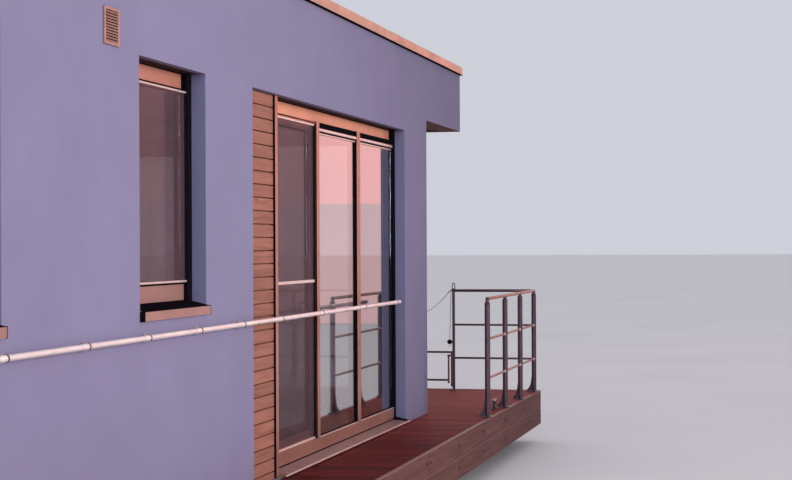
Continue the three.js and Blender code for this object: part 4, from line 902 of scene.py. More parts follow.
for side, name in SIDES:
    dress("door_frame_" + name, door_metal, 0.0012)
    dress("door_glass_" + name, glazing)
    panes = [
        (PANES_X[0], MULLIONS[0][0] - MULLIONS[0][1]),
        (MULLIONS[0][0] + MULLIONS[0][1], MULLIONS[1][0] - MULLIONS[1][1]),
        (MULLIONS[1][0] + MULLIONS[1][1], PANES_X[1]),
    ]
    if side < 0:
        panes.pop(0)  # the leaf and its screen stand there
    shape = bmesh.new()
    # Black skins on the sides of the guides: brush seals, darkened to paint the shade on the sides that face
    # away from the light.
    for x, half in MULLIONS:
        for edge in (x - half, x + half):
            at_screen = side < 0 and edge < MULLIONS[0][0]
            depth = (GUIDE_DEPTH + 0.0015, SCREEN_DEPTH if at_screen else PANE_DEPTH - 0.0004)
            on_side(side, (edge - SKIN / 2, edge + SKIN / 2), depth, GUIDE_Z, 0.0003, shape)
    edge = PANES_X[1]
    # Black skins on the fore guide's side and face paint the reveal's shade on it, the black strip at the
    # trim paints the shade in the gap there, and the dark band along the top of the blind box paints the
    # lintel's shadow; the strip at the foot is the dark joint above the tread.
    for x, depth, z, rounding in (
        ((edge - SKIN, edge), (GUIDE_DEPTH - SKIN, BOX_DEPTH - 0.0004), (PANE_Z[0], BOX_Z[1]), 0.0003),
        ((edge - SKIN, DOOR_FRONT), (GUIDE_DEPTH - SKIN, GUIDE_DEPTH), (REVEAL_FOOT, BOX_Z[1]), 0.0003),
        ((TRIM_X[1] + 0.001, edge), (GUIDE_DEPTH - 0.002, GUIDE_DEPTH), FOOT_SEAL_Z, 0.0008),
        ((TRIM_X[0] - 0.003, TRIM_X[0]), EDGE_SEAL_DEPTH, EDGE_SEAL_Z, 0.0003),
        ((TRIM_X[1], edge), (BOX_DEPTH - 0.002, BOX_DEPTH), (BOX_Z[1] - BOX_SEAM, BOX_Z[1]), 0.0005),
    ):
        on_side(side, x, depth, z, rounding, shape)
    # A black end cap at the fore end of the tread, darkened to paint the shade at the foot of the reveal.
    drawn_on_side(side, (DOOR_FRONT - 0.1, DOOR_FRONT), TREAD_PLUG, shape)
    # Dark seals beside and under each pane, and a tall dark strip at its head that paints the shade under the
    # blind box.
    for x0, x1 in panes:
        between = (x0 + SEAL_WIDTH, x1 - SEAL_WIDTH)
        for x, z in (
            ((x0, between[0]), PANE_Z),
            ((between[1], x1), PANE_Z),
            (between, (PANE_Z[0], PANE_Z[0] + SEAL_FOOT)),
            (between, SEAL_HEAD_Z),
        ):
            on_side(side, x, (PANE_DEPTH - 0.004, PANE_DEPTH - 0.0004), z, 0.0008, shape)
    fitted("door_seals_and_shade_" + name, shape, plastic_and_shade_black)

    # Painted shadow: a dark strip along the underside of each lintel, over the door and over the windows.
    shape = bmesh.new()
    on_side(side, (TRIM_X[1], DOOR_FRONT - 0.0005), (0.05, BOX_DEPTH - 0.002), LINTEL_Z, 0.0008, shape)
    for x0, x1 in WINDOWS.values():
        on_side(side, (x0 + 0.0005, x1 - 0.0005), (0.045, BOX_DEPTH - 0.002), LINTEL_Z, 0.0008, shape)
    fitted("lintel_shade_strips_" + name, shape, lintel_shade_paint)
    shape = bmesh.new()
    lid_z = (BOX_Z[0] + 0.001, BOX_Z[1] - 0.0085)
    on_side(side, (TRIM_X[1] + 0.001, edge - 0.0015), (BOX_DEPTH - 0.0015, BOX_DEPTH), lid_z, 0.0006, shape)
    fitted("blind_box_cover_" + name, shape, door_box_lit_copy)

    shape = bmesh.new()
    for x0, x1 in panes:
        x = (x0 + 0.001, x1 - 0.001)
        on_side(side, x, SLAT_DEPTH, SLAT_Z, 0.003, shape)
        on_side(side, x, HEAD_STRIP_DEPTH, HEAD_STRIP_Z, 0.002, shape)
        # Bright strips on the ledge under each pane and, below, on the nose of the tread: painted highlights
        # on those edges.
        on_side(side, x, LEDGE_DEPTH, LEDGE_Z, 0.0012, shape)
    on_side(side, (TRIM_X[0], DOOR_FRONT), NOSING_DEPTH, NOSING_Z, 0.0008, shape)
    fitted("slats_and_highlight_strips_" + name, shape, light_metal)

    shape = bmesh.new()
    rib_x = (TRIM_X[1] + 0.001, DOOR_FRONT - 0.101)
    for i in range(TREAD_RIBS):
        d = RIB_START + i * RIB_PITCH
        z = TREAD_FOOT[1] + (d - TREAD_FOOT[0]) * TREAD_SLOPE
        on_side(side, rib_x, (d, d + RIB_WIDTH), (z + 0.0002, z + 0.0022), 0.0007, shape)
    fitted("tread_plate_" + name, shape, tread_metal)
dress("door_leaf_starboard", door_metal, 0.0015)
dress("door_leaf_glass_starboard", glazing)

# Insect screens: dark woven mesh between light rails and black stiles, clipped in front of the opening leaf
# of the starboard door and of each window. The stiles' black paints the shade of the guides they stand in.
MESH_PITCH, MESH_THICK, MESH_LAP = 0.0016, 0.0006, 0.02
THREAD_SHARE = 0.16
MESH_COVER = (0.26, 0.6)
STILE, SCREEN_RAIL, SCREEN_GRIP = 0.032, 0.014, (2.184, 2.205)
screen_mesh = Finish("insect_mesh", 0.7)
strands = screen_mesh.node("SeparateXYZ", Vector=screen_mesh.place((1 / MESH_PITCH,) * 3))
threads = []
for axis in ("X", "Z"):
    across = screen_mesh.sums("PINGPONG", strands.outputs[axis], 0.5)
    threads.append(screen_mesh.sums("LESS_THAN", across, THREAD_SHARE))
weave = screen_mesh.span(screen_mesh.sums("MAXIMUM", *threads), 0, 1, *MESH_COVER)
screen_mesh.feed(screen_mesh.shader.inputs["Alpha"], weave)
screen_mesh.colour(screen_mesh.tones((3, 4), from_screen(66, 38, 48), from_screen(84, 50, 60)))
low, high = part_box("insect_screen")
shape = bmesh.new()
for z in ((low.z, low.z + SCREEN_RAIL), (high.z - SCREEN_RAIL, high.z), SCREEN_GRIP):
    chamfered(shape, (low.x + STILE, low.y, z[0]), (high.x - STILE, high.y, z[1]), 0.003)
fitted("screen_rails_door", shape, light_metal, replaces=["insect_screen"])
shape = bmesh.new()
# Black stiles: painted shade beside the guides.
for x in ((low.x, low.x + STILE), (high.x - STILE, high.x)):
    chamfered(shape, (x[0], low.y, low.z), (x[1], high.y, high.z), 0.003)
fitted("screen_stiles_door", shape, plastic_and_shade_black)
shape = bmesh.new()
middle = (low.y + high.y) / 2
near_corner = (low.x + MESH_LAP, middle - MESH_THICK / 2, low.z + MESH_LAP)
far_corner = (high.x - MESH_LAP, middle + MESH_THICK / 2, high.z - MESH_LAP)
chamfered(shape, near_corner, far_corner, 0.0001)
fitted("screen_mesh_door", shape, screen_mesh)

# Windows: one tilting sash in each opening, with its blind box, guide rails and a folded metal sill whose
# ends are closed with black caps. Black skins paint shade on the guides and along the top of the blind box,
# and the dark reflection on the sill's top. Each has an insect screen clipped in front of the sash.
GUIDE_WIDE, WINDOW_BEAD = 0.067, 0.01
SASH_FOOT = 2.2312
SILL_FRONT, SILL_INSET = -0.0275, 0.0045
SILL_TOP = [(0.1075, 2.1462), (0.1075, 2.1467), (-0.0255, 2.1145), (-0.0255, 2.1133)]
SILL_CAP_Z = (2.0658, 2.1165)
SILL_FRONT_DEPTH, SILL_FRONT_Z = (-0.0272, -0.0262), (2.0682, 2.1125)
SILL_BACK_DEPTH, SILL_BACK_Z = (0.1028, 0.1038), (2.1475, 2.2308)
SILL_LIP_DEPTH, SILL_LIP_Z = (-0.0276, -0.0258), (2.1108, 2.1132)
SASH_SEAL_DEPTH, BEAD_DEPTH = (0.0985, 0.104), (0.111, 0.1166)
SCREEN_RAILS, SCREEN_STILES = ((2.241, 2.253), (3.254, 3.265)), (2.2405, 3.279)
RAIL_DEPTH, STILE_DEPTH = (0.083, 0.097), (0.084, 0.097)
WEAVE_DEPTH, WEAVE_Z = (0.0905, 0.0905 + MESH_THICK), (2.247, 3.26)
# The windows' blind box covers: a darker copy of the door's box coat, painted shade.
window_box_shaded_copy = Finish("window_box_shaded_copy", 0.42, 0.25)
window_box_shaded_copy.colour(window_box_shaded_copy.tones((2.2, 4), from_screen(164, 102, 84), from_screen(186, 120, 98)))
sill_metal = Finish("sill_sheet", 0.45, 0.3)
sill_metal.colour(sill_metal.tones((5, 4), from_screen(142, 98, 90), from_screen(160, 114, 104)))


def border(x, z, width):
    """The four strips round a rectangle: two uprights at full height and two rails between them."""
    between = (x[0] + width, x[1] - width)
    return (
        ((x[0], between[0]), z),
        ((between[1], x[1]), z),
        (between, (z[0], z[0] + width)),
        (between, (z[1] - width, z[1])),
    )


for side, name in SIDES:
    for place, (x0, x1) in WINDOWS.items():
        window = name + "_" + place
        dress("window_frame_" + window, door_metal, 0.0012)
        dress("window_glass_" + window, glazing)
        guides = (x0 + GUIDE_WIDE, x1 - GUIDE_WIDE)
        shape = bmesh.new()
        for x in ((x0 - 0.003, x0 + 0.004), (x1 - 0.004, x1 + 0.003)):
            on_side(side, x, (SILL_FRONT, -0.001), SILL_CAP_Z, 0.0015, shape)
        # Black skins on the guides' faces and sides paint the shade on them, and the dark band along the top
        # of the blind box paints the lintel's shadow.
        for outer, edge in zip((x0, x1), guides):
            way = 1 if edge > outer else -1
            front, cheek = sorted((outer, edge + way * SKIN)), sorted((edge, edge + way * SKIN))
            on_side(side, front, (GUIDE_DEPTH - SKIN, GUIDE_DEPTH), (2.13, BOX_Z[1]), 0.0003, shape)
            on_side(side, cheek, (GUIDE_DEPTH - SKIN, BOX_DEPTH - 0.0004), (2.14, BOX_Z[1]), 0.0003, shape)
        on_side(side, guides, (BOX_DEPTH - 0.002, BOX_DEPTH), (BOX_Z[1] - BOX_SEAM, BOX_Z[1]), 0.0005, shape)
        on_side(side, guides, SASH_SEAL_DEPTH, (SASH_FOOT, SASH_FOOT + 0.009), 0.001, shape)
        # A black skin over the sill's top paints the dark reflection that the glossy sill shows.
        drawn_on_side(side, (x0 + SILL_INSET, x1 - SILL_INSET), SILL_TOP, shape)
        glass = (guides[0] + SKIN, guides[1] - SKIN)
        for x, z in border(glass, (SASH_FOOT + 0.0001, BOX_Z[0]), WINDOW_BEAD):
            on_side(side, x, BEAD_DEPTH, z, 0.001, shape)
        fitted("window_seals_and_shade_" + window, shape, plastic_and_shade_black)

        shape = bmesh.new()
        on_side(side, (guides[0], guides[1] - 0.0015), (BOX_DEPTH - 0.0015, BOX_DEPTH), lid_z, 0.0006, shape)
        fitted("blind_box_cover_" + window, shape, window_box_shaded_copy)
        shape = bmesh.new()
        on_side(side, (x0 + SILL_INSET, x1 - SILL_INSET), SILL_FRONT_DEPTH, SILL_FRONT_Z, 0.0003, shape)
        on_side(side, guides, SILL_BACK_DEPTH, SILL_BACK_Z, 0.0003, shape)
        on_side(side, (x0 + 0.006, x1 - 0.006), SILL_LIP_DEPTH, SILL_LIP_Z, 0.0005, shape)
        fitted("window_sill_front_" + window, shape, sill_metal)

        screen = (glass[0] + 0.0005, glass[1] - 0.0005)
        shape = bmesh.new()
        for z in SCREEN_RAILS:
            on_side(side, screen, RAIL_DEPTH, z, 0.003, shape)
        fitted("screen_rails_" + window, shape, light_metal)
        shape = bmesh.new()
        # Black stiles: painted shade beside the guides.
        for x in ((screen[0], screen[0] + SCREEN_RAIL), (screen[1] - SCREEN_RAIL, screen[1])):
            on_side(side, x, STILE_DEPTH, SCREEN_STILES, 0.002, shape)
        fitted("screen_stiles_" + window, shape, plastic_and_shade_black)
        shape = bmesh.new()
        weave_x = (glass[0] + 0.01, glass[1] - 0.01)
        on_side(side, weave_x, WEAVE_DEPTH, WEAVE_Z, 0.0001, shape)
        fitted("screen_mesh_" + window, shape, screen_mesh)

# Terrace doors: a fixed pane and a leaf that slides behind it, in frames of the same powder-coated
# aluminium. Rubber beads hold the panes on both faces, here and in the side door's leaf.
PANE_BEAD = 0.012
for node in ("terrace_door_frame", "terrace_door_leaf"):
    dress(node, door_metal, 0.0015)
for node in ("terrace_fixed_glass", "terrace_leaf_glass"):
    dress(node, glazing)


def pane_bead(shape, low, high, axis, near, far):
    """A rubber bead round a pane that stands across one axis."""
    across = 1 - axis
    for reach, z in border((low[across], high[across]), (low.z, high.z), PANE_BEAD):
        first, last = [0, 0, z[0]], [0, 0, z[1]]
        first[axis], last[axis] = near, far
        first[across], last[across] = reach
        chamfered(shape, first, last, 0.0012)


for glass, body, axis in (
    ("terrace_fixed_glass", "hull", 0),
    ("terrace_leaf_glass", "terrace_door", 0),
    ("door_leaf_glass_starboard", "side_door", 1),
):
    low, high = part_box(glass)
    shape = bmesh.new()
    pane_bead(shape, low, high, axis, high[axis] + 0.0004, high[axis] + 0.005)
    pane_bead(shape, low, high, axis, low[axis] - 0.005, low[axis] - 0.0004)
    fitted("bead_" + glass, shape, plastic_and_shade_black, body)

# Entrance: an insulated aluminium door in the rear wall, hinged to port, painted grey, with a narrow
# frosted light let into it. Two light strips cross the panel, and round roses carry the handles and the
# lock.
LEAF_FACE, LEAF_THICK = -5.188, 0.058
LIGHT_Y, LIGHT_Z = (0.47, 0.64), (1.5, 2.75)
LIGHT_OVER, LIGHT_BEAD = 0.014, 0.018
STRIP_Y, STRIP_LEVELS, STRIP_HALF = (0.72, 1.16), (1.9, 2.5), 0.004
HANDLE_Y, HANDLE_LEVEL, LOCK_LEVEL = 0.4193, 2.03, 1.93
leaf_paint = Finish("entrance_paint", 0.42, 0.1)
leaf_paint.colour(leaf_paint.tones((2.5, 5), from_screen(96, 84, 100), from_screen(116, 102, 120)))
leaf_paint.wear((40, 3), 0.36, 0.5)
leaf_paint.relief(leaf_paint.noise(700, 2), 0.12, 0.0004)
dress("entrance_frame", door_metal, 0.0015)
dress("entrance_leaf", leaf_paint, 0.0015)
frosted = Finish("frosted_pane", 0.25, Coat_Weight=0.6)
frosted.colour(frosted.tones((2, 3), (0.30, 0.34, 0.36), (0.4, 0.44, 0.46)))
frosted.relief(frosted.noise(300, 2), 0.4, 0.001)
shape = bmesh.new()
near_corner = (LEAF_FACE + 0.004, LIGHT_Y[0] + 0.002, LIGHT_Z[0] + 0.002)
chamfered(shape, near_corner, (LEAF_FACE + 0.0115, LIGHT_Y[1] - 0.002, LIGHT_Z[1] - 0.002), 0.001)
fitted("entrance_light", shape, frosted, "entrance_door")
shape = bmesh.new()
bead_y = (LIGHT_Y[0] - LIGHT_OVER, LIGHT_Y[1] + LIGHT_OVER)
bead_z = (LIGHT_Z[0] - LIGHT_OVER, LIGHT_Z[1] + LIGHT_OVER)
for y, z in border(bead_y, bead_z, LIGHT_BEAD):
    chamfered(shape, (LEAF_FACE - 0.003, y[0], z[0]), (LEAF_FACE + 0.003, y[1], z[1]), 0.0012)
for z in STRIP_LEVELS:
    near_corner = (LEAF_FACE - 0.0015, STRIP_Y[0], z - STRIP_HALF)
    chamfered(shape, near_corner, (LEAF_FACE + 0.001, STRIP_Y[1], z + STRIP_HALF), 0.0006)
fitted("entrance_beads", shape, light_metal, "entrance_door")
rose = [(0, 0.026), (0.006, 0.026), (0.008, 0.023), (0.008, 0.012)]
lock = [(0, 0.017), (0.007, 0.017), (0.009, 0.014), (0.0095, 0.004)]
shape = bmesh.new()
for x, way in ((LEAF_FACE, -1), (LEAF_FACE + LEAF_THICK, 1)):
    turned(shape, (x, HANDLE_Y, HANDLE_LEVEL), (way, 0, 0), rose, 20)
    turned(shape, (x, HANDLE_Y, LOCK_LEVEL), (way, 0, 0), lock, 20)
fitted("entrance_roses", shape, bright_steel, "entrance_door")

# Vent grille: a square louvred cover of coated metal high on the starboard wall. It is screwed on over the
# fan duct, and a dark plate behind the blades paints the shade inside the duct.
RIM, LOUVRES = 0.014, 11
low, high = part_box("vent_grille")
vent_metal = Finish("vent_coat", 0.42, 0.4)
vent_metal.colour(vent_metal.tones((14, 4), from_screen(146, 102, 92), from_screen(172, 126, 114)))
shape = bmesh.new()
for x, z in border((low.x, high.x), (low.z, high.z), RIM):
    chamfered(shape, (x[0], low.y, z[0]), (x[1], high.y, z[1]), 0.0015)
pitch = (high.z - low.z - 2 * RIM) / LOUVRES
front, back = low.y + 0.0006, high.y - 0.002
for i in range(LOUVRES):
    foot = low.z + RIM + i * pitch
    head = foot + pitch * 0.92
    blade = [(front, foot + 0.001), (front, foot + 0.0035), (back, head), (back, head - 0.0025)]
    skinned(shape, [[shape.verts.new((x, y, z)) for y, z in blade] for x in (low.x + RIM, high.x - RIM)])
for x in (low.x + RIM / 2, high.x - RIM / 2):
    for z in (low.z + RIM / 2, high.z - RIM / 2):
        screw(shape, (x, low.y + 0.002, z), (0, -1, 0), 0.003)
fitted("vent_louvres", shape, vent_metal, replaces=["vent_grille"])
# Painted shade: a dark plate behind the louvres.
shape = bmesh.new()
near_corner = (low.x + 0.01, high.y - 0.0016, low.z + 0.01)
chamfered(shape, near_corner, (high.x - 0.01, high.y - 0.0002, high.z - 0.01), 0.0003)
fitted("vent_painted_duct_shade", shape, plastic_and_shade_black)

# Wall handrail: polished stainless tube along the cabin on short stems with round wall plates. Collars join
# its lengths, each with a dark ring beside it that paints the shadow line at the collar, and domed caps
# close its ends.
HANDRAIL_Y, HANDRAIL_Z, HANDRAIL_RADIUS = 1.935, 1.988, 0.0148
HANDRAIL_ENDS = (-5.061, 3.339)
COLLARS = (-3.391, -2.596, -1.873, -1.155, -0.448, 0.274, 1.175, 2.276, 3.262)
COLLAR_BACK, RING_BACK, CAP_LAP = 0.066, 0.0265, 0.006
tube_steel = Finish("polished_tube", 0.3, 0.55)
tube_steel.colour(tube_steel.tones((6, 4), from_screen(222, 204, 200), from_screen(244, 228, 222), 0.75))
tube_steel.wear((60, 2, (0.1, 1, 1)), 0.24, 0.4)
# Dark rings beside the collars: the painted shadow line at each collar.
collar_shadow_paint = Finish("collar_shadow_paint", 0.6, 0.2)
collar_shadow_paint.colour(collar_shadow_paint.tones((40,), from_screen(62, 40, 42), from_screen(98, 68, 66)))
collar_shadow_paint.relief(collar_shadow_paint.noise(900), 0.2, 0.0003)
run = HANDRAIL_ENDS[1] - HANDRAIL_ENDS[0]
sunk = HANDRAIL_RADIUS - 0.001
tube = [(0, 0.0126), (0.0015, HANDRAIL_RADIUS), (run - 0.0015, HANDRAIL_RADIUS), (run, 0.0126)]
collar = [(0, sunk), (0.0015, 0.0166), (0.0385, 0.0166), (0.04, sunk)]
ring = [(0, sunk), (0.001, 0.0178), (0.012, 0.0178), (0.013, sunk)]
end_cap = [(0, 0.0154), (0.006, 0.0154), (0.009, 0.0135), (0.0105, 0.008), (0.011, 0.001)]
for side, name in SIDES:
    y = side * HANDRAIL_Y
    dress("handrail_" + name, bright_steel)
    shape, rings = bmesh.new(), bmesh.new()
    turned(shape, (HANDRAIL_ENDS[0], y, HANDRAIL_Z), (1, 0, 0), tube, 20)
    for x in COLLARS:
        turned(shape, (x - COLLAR_BACK, y, HANDRAIL_Z), (1, 0, 0), collar)
        turned(rings, (x - RING_BACK, y, HANDRAIL_Z), (1, 0, 0), ring)
    for x, way in zip(HANDRAIL_ENDS, (-1, 1)):
        turned(shape, (x - way * CAP_LAP, y, HANDRAIL_Z), (way, 0, 0), end_cap)
    fitted("handrail_tube_" + name, shape, tube_steel)
    fitted("handrail_shadow_rings_" + name, rings, collar_shadow_paint)

# Terrace railings: dark painted steel posts, necked at the top, each on a bolted foot plate with a gusset.
# Two slim rails run through them and a thicker one along the top, and ring fittings hold the slim rails at
# the posts. The side rails are coloured copper, a painted glow of warm light on one metal, and the bow rails
# with their ring fittings take a dark copy of it, painted shade.
RAIL_Y = 2.47
SIDE_POSTS = (4.246, 5.097, 5.905, BOW_RAIL_X)
BOW_POSTS = (-0.846, -0.017, 0.812, 1.641)
MID_LEVELS, TOP_LEVEL = (1.322, 1.649), EYE_LEVEL
POST_RADIUS, NECK_RADIUS, NECK_LEVEL, POST_TOP = 0.023, 0.015, 1.955, 1.998
MID_RADIUS, TOP_RADIUS, EYE_RADIUS = 0.01, 0.014, 0.005
CORNER_FACE = RAIL_Y - POST_RADIUS
PORT_EYE_Y = -0.881
RING_REACH, RING_HALF = 0.034, 0.011
FOOT_Z, FOOT_HALF, FOOT_THICK = 1.0003, 0.045, 0.008
BOLT_X, BOLT_Y = 0.034, 0.022
GUSSET = [
    (0, 0.006), (0.072, 0.006), (0.07, 0.02), (0.052, 0.038),
    (0.038, 0.066), (0.03, 0.1), (0.0245, 0.15), (0, 0.152),
]
post_paint = Finish("post_paint", 0.38, 0.35)
post_paint.colour(post_paint.tones((9, 5), from_screen(60, 31, 38), from_screen(79, 44, 53)))
post_paint.wear((50, 3), 0.3, 0.5)
post_paint.relief(post_paint.noise(600, 2), 0.15, 0.0005)
# Side rails: copper, a painted glow of warm light; the bow rails: a dark copy of the same metal, painted
# shade.
side_tubes_lit_copy = Finish("side_tubes_lit_copy", 0.34, 0.75)
side_tubes_lit_copy.colour(side_tubes_lit_copy.tones((7, 4), from_screen(136, 86, 66), from_screen(168, 114, 90)))
bow_tubes_shaded_copy = Finish("bow_tubes_shaded_copy", 0.36, 0.6)
bow_tubes_shaded_copy.colour(bow_tubes_shaded_copy.tones((7, 4), from_screen(78, 52, 50), from_screen(104, 74, 70)))


def foot_plate(shape, bolts, x, y, half, bolts_y):
    """A plate on the deck under a post, with a pair of hexagon bolts at each place across it."""
    near_corner = (x - FOOT_HALF, y - half, FOOT_Z)
    chamfered(shape, near_corner, (x + FOOT_HALF, y + half, FOOT_Z + FOOT_THICK), 0.0018)
    head = [(0, 0.0085), (0.0025, 0.0085), (0.003, 0.007), (0.008, 0.0065), (0.0095, 0.004)]
    for bolt_x in (-BOLT_X, BOLT_X):
        for bolt_y in bolts_y:
            turned(bolts, (x + bolt_x, y + bolt_y, FOOT_Z + 0.007), (0, 0, 1), head, 6)


def railing_post(shape, bolts, x, y, inward):
    """A post with its neck, foot plate and gusset. The gusset points inward."""
    neck, top = NECK_LEVEL - FOOT_Z, POST_TOP - FOOT_Z
    profile = [
        (0, POST_RADIUS + 0.003),
        (0.004, POST_RADIUS),
        (neck - 0.012, POST_RADIUS),
        (neck - 0.006, POST_RADIUS - 0.002),
        (neck - 0.003, NECK_RADIUS),
        (top - 0.014, NECK_RADIUS),
        (top - 0.007, NECK_RADIUS - 0.003),
        (top - 0.006, 0.004),
    ]
    turned(shape, (x, y, FOOT_Z + 0.006), (0, 0, 1), profile, 20)
    foot_plate(shape, bolts, x, y, 0.033, (-BOLT_Y, BOLT_Y))
    ix, iy = inward
    half = Vector((-iy, ix, 0)) * 0.004
    faces = []
    for way in (-1, 1):
        corners = [Vector((x + ix * d, y + iy * d, FOOT_Z + h)) + half * way for d, h in GUSSET]
        faces.append([shape.verts.new(corner) for corner in corners])
    skinned(shape, faces)


def railing_rail(shape, start, end, radius, sides=14):
    """A straight rail with its ends rounded over."""
    start, end = Vector(start), Vector(end)
    length = (end - start).length
    profile = [(radius * along, radius * share) for along, share in ((0, 0.5), (0.3, 0.86), (0.7, 1))]
    profile += [(length - along, share) for along, share in profile[::-1]]
    turned(shape, start, end - start, profile, sides)


def rail_ring(shape, at, way):
    """A ring fitting where a slim rail meets a post."""
    steps = ((0, 0), (0.002, 0.004), (0.004, 0.005), (0.018, 0.005), (0.02, 0.004), (0.022, 0))
    profile = [(along, MID_RADIUS + out) for along, out in steps]
    turned(shape, Vector(at) - Vector(way) * RING_HALF, way, profile, 14)


for side, name in SIDES:
    y = side * RAIL_Y
    posts, rails, rings, bolts = bmesh.new(), bmesh.new(), bmesh.new(), bmesh.new()
    for x in SIDE_POSTS:
        railing_post(posts, bolts, x, y, (0, -side))
        for level in MID_LEVELS:
            for reach in (-RING_REACH, RING_REACH):
                if SIDE_POSTS[0] <= x + reach <= SIDE_POSTS[-1]:
                    rail_ring(rings, (x + reach, y, level), (1, 0, 0))
    for level in MID_LEVELS:
        railing_rail(rails, (SIDE_POSTS[0], y, level), (SIDE_POSTS[-1], y, level), MID_RADIUS)
    start, end = (SIDE_POSTS[0] - 0.008, y, TOP_LEVEL), (SIDE_POSTS[-1] + 0.012, y, TOP_LEVEL)
    railing_rail(rails, start, end, TOP_RADIUS)
    fitted("side_posts_" + name, posts, post_paint, replaces=["railing_side_" + name])
    fitted("side_rails_" + name, rails, side_tubes_lit_copy)
    fitted("side_rail_rings_" + name, rings, bright_steel)
    fitted("side_post_bolts_" + name, bolts, screw_steel)


def bow_rail(shape, start, end, level, radius, sides=14):
    """A rail that runs across the bow."""
    railing_rail(shape, (BOW_RAIL_X, start, level), (BOW_RAIL_X, end, level), radius, sides)


posts, rails, rings, bolts = bmesh.new(), bmesh.new(), bmesh.new(), bmesh.new()
for y in BOW_POSTS:
    railing_post(posts, bolts, BOW_RAIL_X, y, (-1, 0))
    for level in MID_LEVELS:
        if y > BOW_POSTS[0]:
            rail_ring(rings, (BOW_RAIL_X, y - RING_REACH, level), (0, 1, 0))
        rail_ring(rings, (BOW_RAIL_X, y + RING_REACH, level), (0, 1, 0))
for level in MID_LEVELS:
    bow_rail(rails, BOW_POSTS[0], CORNER_FACE, level, MID_RADIUS)
bow_rail(rails, BOW_POSTS[0], CORNER_FACE + 0.008, TOP_LEVEL, TOP_RADIUS)
bow_rail(rails, BOW_POSTS[0], PORT_EYE_Y, TOP_LEVEL, EYE_RADIUS, 8)
fitted("bow_posts_port", posts, post_paint, replaces=["railing_bow_port"])
fitted("bow_rails_port", rails, bow_tubes_shaded_copy)
# The bow's ring fittings take the posts' dark paint, a painted shade; those of the side rails are bright
# steel.
fitted("bow_rail_rings_port", rings, post_paint)
fitted("bow_post_bolts_port", bolts, screw_steel)

# Gate post beside the ladder: a slim painted tube on a bolted foot plate, with a narrow loop of thin rod
# at its head and an eye for the boarding rope. The rails of the bow's starboard corner end in it.
GATE_POST_Y, GATE_EYE_Y = -1.673, -1.6433
LOOP_HALF, LOOP_FOOT, LOOP_HEIGHT, LOOP_STEPS, LOOP_ROD = 0.0135, 1.99, 0.066, 24, 0.0046
posts, rails, bolts = bmesh.new(), bmesh.new(), bmesh.new()
gate_tube = [(0, 0.02), (0.006, 0.014), (0.99, 0.014), (1.0, 0.013), (1.001, 0.004)]
turned(posts, (BOW_RAIL_X, GATE_POST_Y, FOOT_Z + 0.005), (0, 0, 1), gate_tube, 18)
foot_plate(posts, bolts, BOW_RAIL_X, GATE_POST_Y, 0.03, (0,))
loop = []
for i in range(LOOP_STEPS + 1):
    a = math.pi * i / LOOP_STEPS
    wide = LOOP_HALF * math.copysign(abs(math.cos(a)) ** 0.45, math.cos(a))
    loop.append((BOW_RAIL_X, GATE_POST_Y - wide, LOOP_FOOT + LOOP_HEIGHT * math.sin(a) ** 0.6))
swept(posts, loop, rounds(LOOP_ROD, 8))
bow_rail(posts, GATE_POST_Y, GATE_EYE_Y, EYE_LEVEL, EYE_RADIUS, 8)
for level in MID_LEVELS:
    bow_rail(rails, -CORNER_FACE, GATE_POST_Y, level, MID_RADIUS)
bow_rail(rails, -CORNER_FACE - 0.008, GATE_POST_Y, TOP_LEVEL, TOP_RADIUS)
fitted("gate_post", posts, post_paint, replaces=["railing_bow_starboard"])
fitted("bow_rails_starboard", rails, bow_tubes_shaded_copy)
fitted("gate_post_bolts", bolts, screw_steel)

# Mooring cleats: cast in two parts and bolted to the deck by the second post of each side railing. Two
# horns lie along the boat on one painted stem. The horns' pale colour paints the highlight on the cleat's
# top.
CLEAT_X, CLEAT_Y = 4.9, 2.41
CLEAT_FOOT = (0.055, 0.026, 0.011)
CLEAT_SCREWS = (0.041, 0.015)
HORN_HEIGHT, HORN_RISE = 0.08, 0.13
# Pale horns: a painted highlight on the top of the cleat.
horns_painted_highlight = Finish("horn_highlight_paint", 0.5, 0.6)
horns_painted_highlight.colour(horns_painted_highlight.tones((60, 5), from_screen(150, 128, 140), from_screen(200, 178, 188)))
horns_painted_highlight.relief(horns_painted_highlight.noise(300, 3), 0.3, 0.0008)
stem = [
    (0, 0.026), (0.008, 0.0215), (0.024, 0.017), (0.05, 0.0155),
    (0.068, 0.0175), (0.08, 0.017), (0.087, 0.011), (0.089, 0.003),
]
horn = [(0, 0.0145), (0.03, 0.0135), (0.06, 0.0105), (0.078, 0.008), (0.084, 0.0055), (0.086, 0.002)]
for side, name in SIDES:
    y = side * CLEAT_Y
    half_x, half_y, thick = CLEAT_FOOT
    shape = bmesh.new()
    near_corner = (CLEAT_X - half_x, y - half_y, DECK_TOP - 0.001)
    chamfered(shape, near_corner, (CLEAT_X + half_x, y + half_y, DECK_TOP + thick), 0.003)
    turned(shape, (CLEAT_X, y, DECK_TOP + 0.01), (0, 0, 1), stem, 20)
    fitted("cleat_stem_" + name, shape, post_paint)
    shape = bmesh.new()
    for way in (-1, 1):
        turned(shape, (CLEAT_X, y, DECK_TOP + HORN_HEIGHT), (way, 0, HORN_RISE), horn)
    for dx in (-CLEAT_SCREWS[0], CLEAT_SCREWS[0]):
        for dy in (-CLEAT_SCREWS[1], CLEAT_SCREWS[1]):
            screw(shape, (CLEAT_X + dx, y + dy, DECK_TOP + thick + 0.0002), (0, 0, 1), 0.005)
    fitted("cleat_horns_" + name, shape, horns_painted_highlight)

